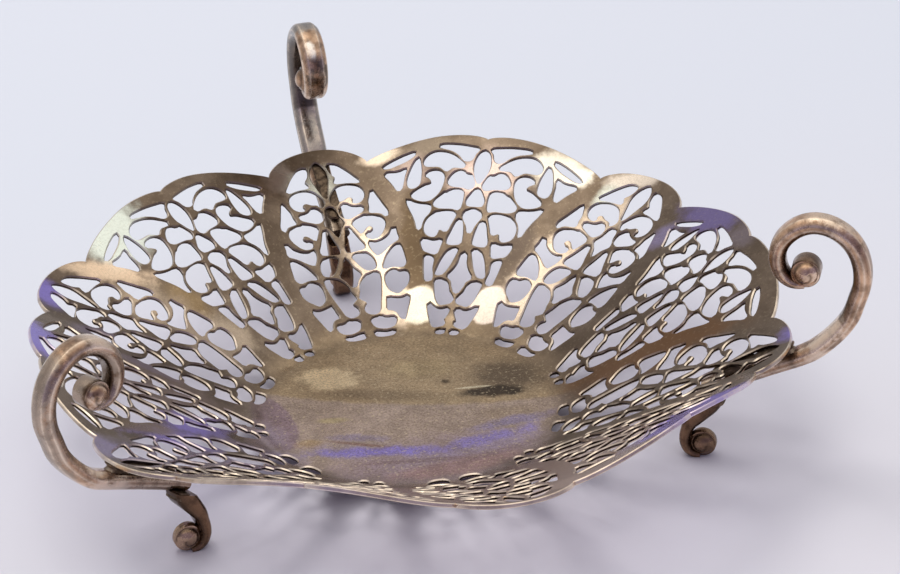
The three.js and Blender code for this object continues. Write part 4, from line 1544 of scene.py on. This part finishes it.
@dataclass(frozen=True)
class Studio:
    """Plain floor, soft light and the camera."""

    target: tuple = (8.44, -3.58, 27.80)
    azimuth: float = -15.39
    elevation: float = 27.76
    roll: float = -2.29
    distance: float = 616.5
    lens: float = 121.748
    floor_back: tuple = (0.65, 0.695, 0.79)
    floor_front: tuple = (0.7, 0.7, 0.775)
    # lilac of the painted shadow tint round the dish
    floor_shadow_tint: tuple = (0.72, 0.695, 0.84)
    floor_half: float = 1500.0
    floor_fade: tuple = (-120.0, 160.0)
    shadow_tint_fade: tuple = (45.0, 105.0)
    shadow_tint_strength: float = 0.6
    floor_rough: float = 0.7
    sides_fade: tuple = (-0.8, 0.35)
    ceiling_fade: tuple = (0.55, 0.97)
    sides_front: tuple = (0.29, 0.26, 0.38)
    sides_back: tuple = (0.6, 0.59, 0.61)
    ceiling: tuple = (1.3, 1.25, 1.18)
    glow: tuple = (3.0, 2.9, 2.7)
    glow_azimuth: float = 141
    glow_elevation: float = 80
    glow_edge: tuple = (0.985, 0.996)
    lamps: tuple[Lamp, ...] = (Lamp("key", 110, 66, 1.1, (0.6, 0.45), 4.2, (1.0, 0.95, 0.87)),)

    def build(self) -> None:
        """Sets the whole stage."""
        self._camera()
        self._floor()
        self._world()
        for lamp in self.lamps:
            lamp.place()
        bpy.context.scene.view_settings.view_transform = "Standard"

    def _camera(self) -> None:
        """The camera at the photograph's place."""
        a, e, r = (math.radians(v) for v in (self.azimuth, self.elevation, self.roll))
        back = Vector((math.sin(a) * math.cos(e), -math.cos(a) * math.cos(e), math.sin(e)))
        right = (-back).cross(Vector((0, 0, 1))).normalized()
        up = right.cross(-back)
        leaned_right = right * math.cos(r) + up * math.sin(r)
        leaned_up = -right * math.sin(r) + up * math.cos(r)
        data = bpy.data.cameras.new("camera")
        data.sensor_fit = "HORIZONTAL"
        data.sensor_width = 36
        data.lens = self.lens
        data.clip_start, data.clip_end = 0.01, 20
        camera = bpy.data.objects.new("camera", data)
        place = (Vector(self.target) + back * self.distance) * MM
        turn = Matrix((leaned_right, leaned_up, back)).transposed()
        camera.matrix_world = Matrix.Translation(place) @ turn.to_4x4()
        bpy.context.scene.collection.objects.link(camera)
        bpy.context.scene.camera = camera

    def _floor(self) -> None:
        """The table top, bluer towards the back, with a painted lilac shadow tint round the dish."""
        shell = Shell()
        ring = [Vector((x, y, 0.0)) * self.floor_half for x, y in ((-1, -1), (1, -1), (1, 1), (-1, 1))]
        drop = Vector((0.0, 0.0, FORM.table))
        shell.faces.append(tuple(shell.add_corners([corner + drop for corner in ring])))
        floor = shell.to_object("floor", 30)
        material = bpy.data.materials.new("pale_table_painted_shadow_tint")
        tree = NodeTree(material)
        place = tree.place_mm()
        away = tree.node("ShaderNodeSeparateXYZ", None, {0: place}, out=1)
        colour = tree.blend(tree.spread(away, *self.floor_fade), self.floor_front, self.floor_back)
        # painted shadow tint: the floor turns lilac within 45 mm of the dish's axis, fading out by 105 mm
        near = tree.spread(tree.from_axis(place), *self.shadow_tint_fade, (self.shadow_tint_strength, 0.0))
        colour = tree.blend(near, colour, self.floor_shadow_tint)
        sockets = {"Base Color": colour, "Roughness": self.floor_rough}
        shader = tree.node("ShaderNodeBsdfPrincipled", None, sockets)
        tree.node("ShaderNodeOutputMaterial", None, {"Surface": shader})
        floor.data.materials.append(material)

    def _world(self) -> None:
        """Soft surroundings: a warm ceiling with one bright place, dimmer towards the camera."""
        world = bpy.data.worlds.new("studio")
        bpy.context.scene.world = world
        tree = NodeTree(world)
        way = tree.node("ShaderNodeTexCoord", out="Generated")
        ahead = tree.node("ShaderNodeSeparateXYZ", None, {0: way}, out=1)
        up = tree.node("ShaderNodeSeparateXYZ", None, {0: way}, out=2)
        sides = tree.blend(tree.spread(ahead, *self.sides_fade), self.sides_front, self.sides_back)
        colour = tree.blend(tree.spread(up, *self.ceiling_fade), sides, self.ceiling)
        sockets = {0: way, 1: tuple(direction(self.glow_azimuth, self.glow_elevation))}
        near = tree.node("ShaderNodeVectorMath", {"operation": "DOT_PRODUCT"}, sockets, out=1)
        colour = tree.blend(tree.spread(near, *self.glow_edge), colour, self.glow)
        shader = tree.node("ShaderNodeBackground", None, {"Color": colour, "Strength": 1.0})
        tree.node("ShaderNodeOutputWorld", None, {"Surface": shader})


# Pale colours of painted highlights; blue and violet of tarnish and painted reflection.
WHITE_HIGHLIGHT = (0.8, 0.72, 0.6)
CREAM_HIGHLIGHT = (0.9, 0.73, 0.56)
PINK_HIGHLIGHT = (0.7, 0.53, 0.47)
MINT_HIGHLIGHT = (0.66, 0.68, 0.6)
BLUE_TARNISH_AND_REFLECTION = (0.36, 0.29, 0.8)
VIOLET_TARNISH_AND_REFLECTION = (0.37, 0.31, 0.5)
ROSE = (0.44, 0.32, 0.28)

# Ovals over the well and lower walls. The violet, blue and mauve bands towards the front are tarnish and
# painted reflection; the rest tint, lighten or darken the tarnish.
WELL_PATCHES: tuple[Patch, ...] = (
    Patch((39.6, 104.9), (113, 113), 0, (0.57, 0.42, 0.255), 1.0, 0.985, 0.02),
    Patch((-6, 6.4), (20, 3.4), -22, (0.27, 0.19, 0.115), 0.65, 0.3, 1.4),
    Patch((-13.2, 16.4), (8.8, 5.8), -20, (1.0, 0.79, 0.5), 1.0, 0.5, 1.3),
    Patch((6, 14), (10, 6), -15, (0.55, 0.42, 0.23), 0.5, 0.3),
    Patch((3, 15), (6, 4), -30, (0.75, 0.58, 0.34), 0.5, 0.2, 1.6),
    Patch((23, 5), (11.5, 9.5), -18, (0.14, 0.1, 0.065), 0.85, 0.3, 1.3),
    Patch((17.8, -0.4), (8.6, 3.0), -12, (0.04, 0.028, 0.018), 0.95, 0.5, 1.1),
    Patch((14.5, 2.6), (4.6, 0.5), -10, (1.0, 0.88, 0.62), 0.95, 0.5, 0.3),
    Patch((9.5, 7.0), (1.7, 1.2), -50, (0.06, 0.04, 0.02), 0.85),
    Patch((-28.6, 2), (4.5, 13), 2, (0.4, 0.28, 0.34), 0.85, 0.8, 0.25),
    Patch((-17, -0.8), (4.5, 1.7), -14, (0.75, 0.62, 0.3), 0.6),
    Patch((1, -25), (36, 14.5), -3, (0.47, 0.35, 0.4), 0.85, 0.35, 0.8),
    Patch((18, -9.5), (9, 3.5), -8, (0.48, 0.36, 0.26), 0.7),
    Patch((3, -27), (21, 4.5), 2, (0.47, 0.29, 0.27), 0.8, 0.4),
    Patch((-24, -8.5), (4, 2.6), 0, (0.62, 0.42, 0.2), 0.75),
    Patch((-14, -9.5), (9, 2.2), -22, VIOLET_TARNISH_AND_REFLECTION, 0.6, 0.3, 1.2),
    Patch((-17, -13.5), (15, 4.5), -18, VIOLET_TARNISH_AND_REFLECTION, 0.45, 0.2, 2.0),
    Patch((9, -20), (22, 5.5), 6, VIOLET_TARNISH_AND_REFLECTION, 0.4, 0.2, 2.0),
    Patch((-13.5, -12.4), (10, 0.8), -30, (0.36, 0.2, 0.16), 0.7, 0.4, 0.8),
    Patch((-11, -16), (19, 2.5), -15, BLUE_TARNISH_AND_REFLECTION, 0.85, 0.3, 1.2),
    Patch((11, -18), (17, 2.8), 8, BLUE_TARNISH_AND_REFLECTION, 0.65, 0.2, 1.6),
    Patch((18, -13.5), (13, 2.6), 2, VIOLET_TARNISH_AND_REFLECTION, 0.8, 0.3, 1.4),
    Patch((-4, -22.3), (17, 1.2), -12, (0.3, 0.2, 0.2), 0.55, 0.4, 0.8),
    Patch((12, -24), (14, 1.3), 12, (0.32, 0.22, 0.24), 0.5, 0.4, 0.8),
)

# Ovals over the sheet. The pale ones, on the back walls, bands and petals, are painted highlights; the blue
# and violet ones are tarnish and painted reflection; the rest tint or darken the tarnish.
SHEET_TARNISH_HIGHLIGHT_AND_REFLECTION_PATCHES: tuple[Patch, ...] = (
    Patch((0, -58), (70, 30), 0, ROSE, 0.85, 0.5, 0.6),
    Patch((16.5, 50), (5.5, 19), -18, (0.11, 0.075, 0.045), 0.95, 0.5),
    Patch((37, 42), (5, 14), -40, (0.1, 0.075, 0.06), 0.85, 0.4),
    Patch((25, 70), (7, 3), -20, (0.3, 0.24, 0.18), 0.7),
    Patch((-9, 73), (5, 6), 20, (0.4, 0.34, 0.3), 0.85, 0.4),
    # painted highlights: glare on the two bands beside the back petal, near the bend
    Patch((12.2, 35.8), (4.8, 4.4), 71, (0.72, 0.64, 0.5), 1.0, 0.8, 0.4),
    Patch((26.0, 29.2), (4.8, 4.4), 49, (0.72, 0.61, 0.52), 1.0, 0.8, 0.4),
    Patch((50, 51.5), (9, 3.8), -42, (1.0, 0.92, 0.78), 0.95, 0.5),
    Patch((64, 42), (8, 3), -28, (0.8, 0.7, 0.6), 0.85, 0.4),
    Patch((14, 73), (6, 2.6), -10, CREAM_HIGHLIGHT, 0.9, 0.4),
    Patch((5.5, 47), (6.5, 17), 2, CREAM_HIGHLIGHT, 0.95, 0.5),
    Patch((4, 62), (3, 9), -10, CREAM_HIGHLIGHT, 0.9),
    Patch((-2, 71), (8, 5.5), 10, MINT_HIGHLIGHT, 0.8),
    Patch((38.5, 30), (16, 6.5), 34, CREAM_HIGHLIGHT, 0.95, 0.5),
    Patch((56, 36.5), (10, 6), 14, CREAM_HIGHLIGHT, 0.8),
    Patch((57, 41), (5, 3.5), 30, MINT_HIGHLIGHT, 0.9),
    Patch((50, 52), (8, 6), -20, WHITE_HIGHLIGHT, 0.85),
    Patch((34, 57), (11, 7.5), -25, PINK_HIGHLIGHT, 0.8),
    Patch((20, 66), (6, 5), -30, PINK_HIGHLIGHT, 0.5),
    Patch((-50, 53), (11, 8.5), 52, (0.78, 0.84, 0.76), 0.95, 0.5),
    Patch((-54, 44.3), (13, 3.6), -5, (0.86, 0.65, 0.46), 0.9, 0.3, 1.4),
    Patch((-38, 38.5), (8, 5), -45, (0.34, 0.23, 0.11), 0.6),
    Patch((-48, 36.5), (9, 7), -50, (0.62, 0.48, 0.34), 0.85, 0.3),
    Patch((-37, 30), (17, 6.5), -52, (0.42, 0.33, 0.25), 0.8, 0.3),
    Patch((-30.5, 31.5), (8, 4.5), -32, (0.5, 0.4, 0.3), 0.85, 0.4),
    Patch((-68, 34.5), (4.5, 8), 10, BLUE_TARNISH_AND_REFLECTION, 0.85),
    Patch((-73.5, 9), (6, 12), 8, BLUE_TARNISH_AND_REFLECTION, 1.0, 0.5),
    Patch((-54, 5), (22, 15), 0, (0.33, 0.25, 0.24), 0.7, 0.3),
    Patch((-60, 23), (8, 4), 5, VIOLET_TARNISH_AND_REFLECTION, 0.4),
    Patch((-52, 14), (8, 2.5), -20, VIOLET_TARNISH_AND_REFLECTION, 0.35),
    Patch((-46, -7), (13, 6.5), 35, BLUE_TARNISH_AND_REFLECTION, 0.9, 0.3, 1.4),
    Patch((-52, -18), (13, 7), 10, BLUE_TARNISH_AND_REFLECTION, 0.85, 0.3, 1.4),
    Patch((-38, -22), (12, 6), -10, VIOLET_TARNISH_AND_REFLECTION, 0.8, 0.3, 1.4),
    Patch((-67, -32), (8, 8), 30, VIOLET_TARNISH_AND_REFLECTION, 0.85),
    Patch((-34, -12), (12, 5), -10, VIOLET_TARNISH_AND_REFLECTION, 0.8, 0.2),
    Patch((48, -12), (24, 9), -25, (0.2, 0.1, 0.045), 0.8, 0.4),
    Patch((-33, -3), (7, 9), 0, (0.5, 0.4, 0.5), 0.6),
    Patch((-37, -66), (13, 5), -30, VIOLET_TARNISH_AND_REFLECTION, 0.7),
    Patch((73.5, 2), (4, 7), 5, (0.27, 0.22, 0.24), 0.8),
    Patch((72, 16), (6, 13), 10, (0.24, 0.19, 0.42), 0.9, 0.4),
    Patch((63, 21), (5, 4), 0, VIOLET_TARNISH_AND_REFLECTION, 0.8),
    Patch((72, -37), (7, 5), -30, BLUE_TARNISH_AND_REFLECTION, 0.85),
    Patch((9, -72), (12, 5), 0, (0.55, 0.42, 0.37), 0.8),
    Patch((40, -61.5), (21, 6), 24, (0.3, 0.22, 0.82), 1.0, 0.6, 0.6),
    Patch((-54, -27), (20, 9), 30, VIOLET_TARNISH_AND_REFLECTION, 0.75, 0.3, 1.2),
    Patch((-58, -16), (9, 3.5), 20, (0.3, 0.22, 0.15), 0.8, 0.4),
)


# Ovals over the handles: painted shade on the straps beneath the dish, painted highlights on the scrolls,
# and grey tints of the metal.
HANDLE_TONE_SHADE_AND_HIGHLIGHT_PATCHES: tuple[Patch, ...] = (
    # painted shade on the front straps beneath the dish
    Patch((-58, -32.2), (12, 8), 29, (0.2, 0.145, 0.11), 0.75, 0.7, 0.4),
    Patch((55, -31.5), (12, 8), -29, (0.22, 0.15, 0.1), 0.7, 0.7, 0.4),
    # painted shade on the back strap beneath its petal
    Patch((1, 62.5), (8, 13), 0, (0.07, 0.05, 0.035), 0.92, 0.8, 0.4),
    # a grey tint of the metal
    Patch((1.5, 91), (7, 11.5), 0, (0.29, 0.28, 0.27), 0.85, 0.85, 0.2),
    # painted highlights on the tops and outer curves of the scrolls
    Patch((1.0, 77.2), (1.5, 2.2), 0, (1.0, 0.95, 0.88), 0.75, 0.3, 0.8),
    Patch((74.6, -42.4), (4, 4.5), -30, (1.0, 0.84, 0.68), 0.55, 0.3, 1.0),
    Patch((-71, -39.5), (5, 4), 29, (0.95, 0.8, 0.66), 0.6, 0.4, 0.8),
    # a grey-brown tint of the metal
    Patch((-80.5, -44.5), (4.5, 4), 29, (0.3, 0.25, 0.21), 0.8, 0.5, 0.6),
)


@dataclass(frozen=True)
class Arm:
    """One handle and the foot beneath it, as they were set by hand."""

    azimuth: float
    foot_azimuth: float
    eye_up: float
    width: float = 5.3
    inset_share: float = 1.0
    twist: float = 0.0
    rubbed: float = 0.6


ARMS = (
    Arm(89.0, 89.0, 1.87, width=5.8),
    Arm(209.1, 210.3, 1.72, twist=-22.0, rubbed=0.55),
    Arm(330.4, 328.6, 1.74, inset_share=1.9, rubbed=0.12),
)

# A seam's inner and outer radius, its depths at top and bottom, and its widths at top, waist and bottom.
RIM_SEAM = (71.2, 78.4, 0.85, 2.1, 3.6, 2.6, 3.4)
LAP_SEAM = (63.0, 70.7, 0.85, 2.1, 3.4, 2.4, 3.2)
LEG_SEAM = (60.2, 63.0, 5.4, 7.0, 4.3, 4.1, 4.0)


def main() -> None:
    """Builds every piece in order and reports it."""
    logging.basicConfig(level=logging.INFO, format="%(message)s")
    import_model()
    Studio().build()
    sheet = SheetTarnishAndPaintedLight(well_patches=WELL_PATCHES, patches=SHEET_TARNISH_HIGHLIGHT_AND_REFLECTION_PATCHES).build()
    handle_finish = ScrollWearAndPaintedLight("handle_wear_and_painted_light", patches=HANDLE_TONE_SHADE_AND_HIGHLIGHT_PATCHES).build()
    foot_finish = ScrollWearAndPaintedLight(
        "foot_wear_and_painted_shade",
        clear=(0.23, 0.135, 0.08),
        dull=(0.11, 0.065, 0.04),
        worn=(0.3, 0.18, 0.11),
        rolled=(0.78, 0.56, 0.4),
    ).build()
    solder = GreySolder().build()
    pieces = [PiercedSheet().build(sheet)]
    for n, arm in enumerate(ARMS, start=1):
        handle = ScrollHandle(n, arm.azimuth, arm.eye_up, arm.width)
        foot = ScrollFoot(n, arm.foot_azimuth, arm.inset_share, arm.twist, arm.rubbed)
        pieces += [handle.build(handle_finish), foot.build(foot_finish)]
        rim = SolderSeam(f"rim_seam_{n}", f"rim_solder_{n}", arm.azimuth, *RIM_SEAM)
        lap = SolderSeam(f"lap_seam_{n}", f"strap_solder_{n}", arm.azimuth, *LAP_SEAM)
        leg = SolderSeam(f"foot_seam_{n}", f"foot_solder_{n}", arm.foot_azimuth, *LEG_SEAM)
        pieces += [seam.build(solder) for seam in (rim, lap, leg)]
    for piece in pieces:
        LOG.info("%s: %d faces", piece.name, len(piece.data.polygons))


if __name__ == "__main__":
    main()
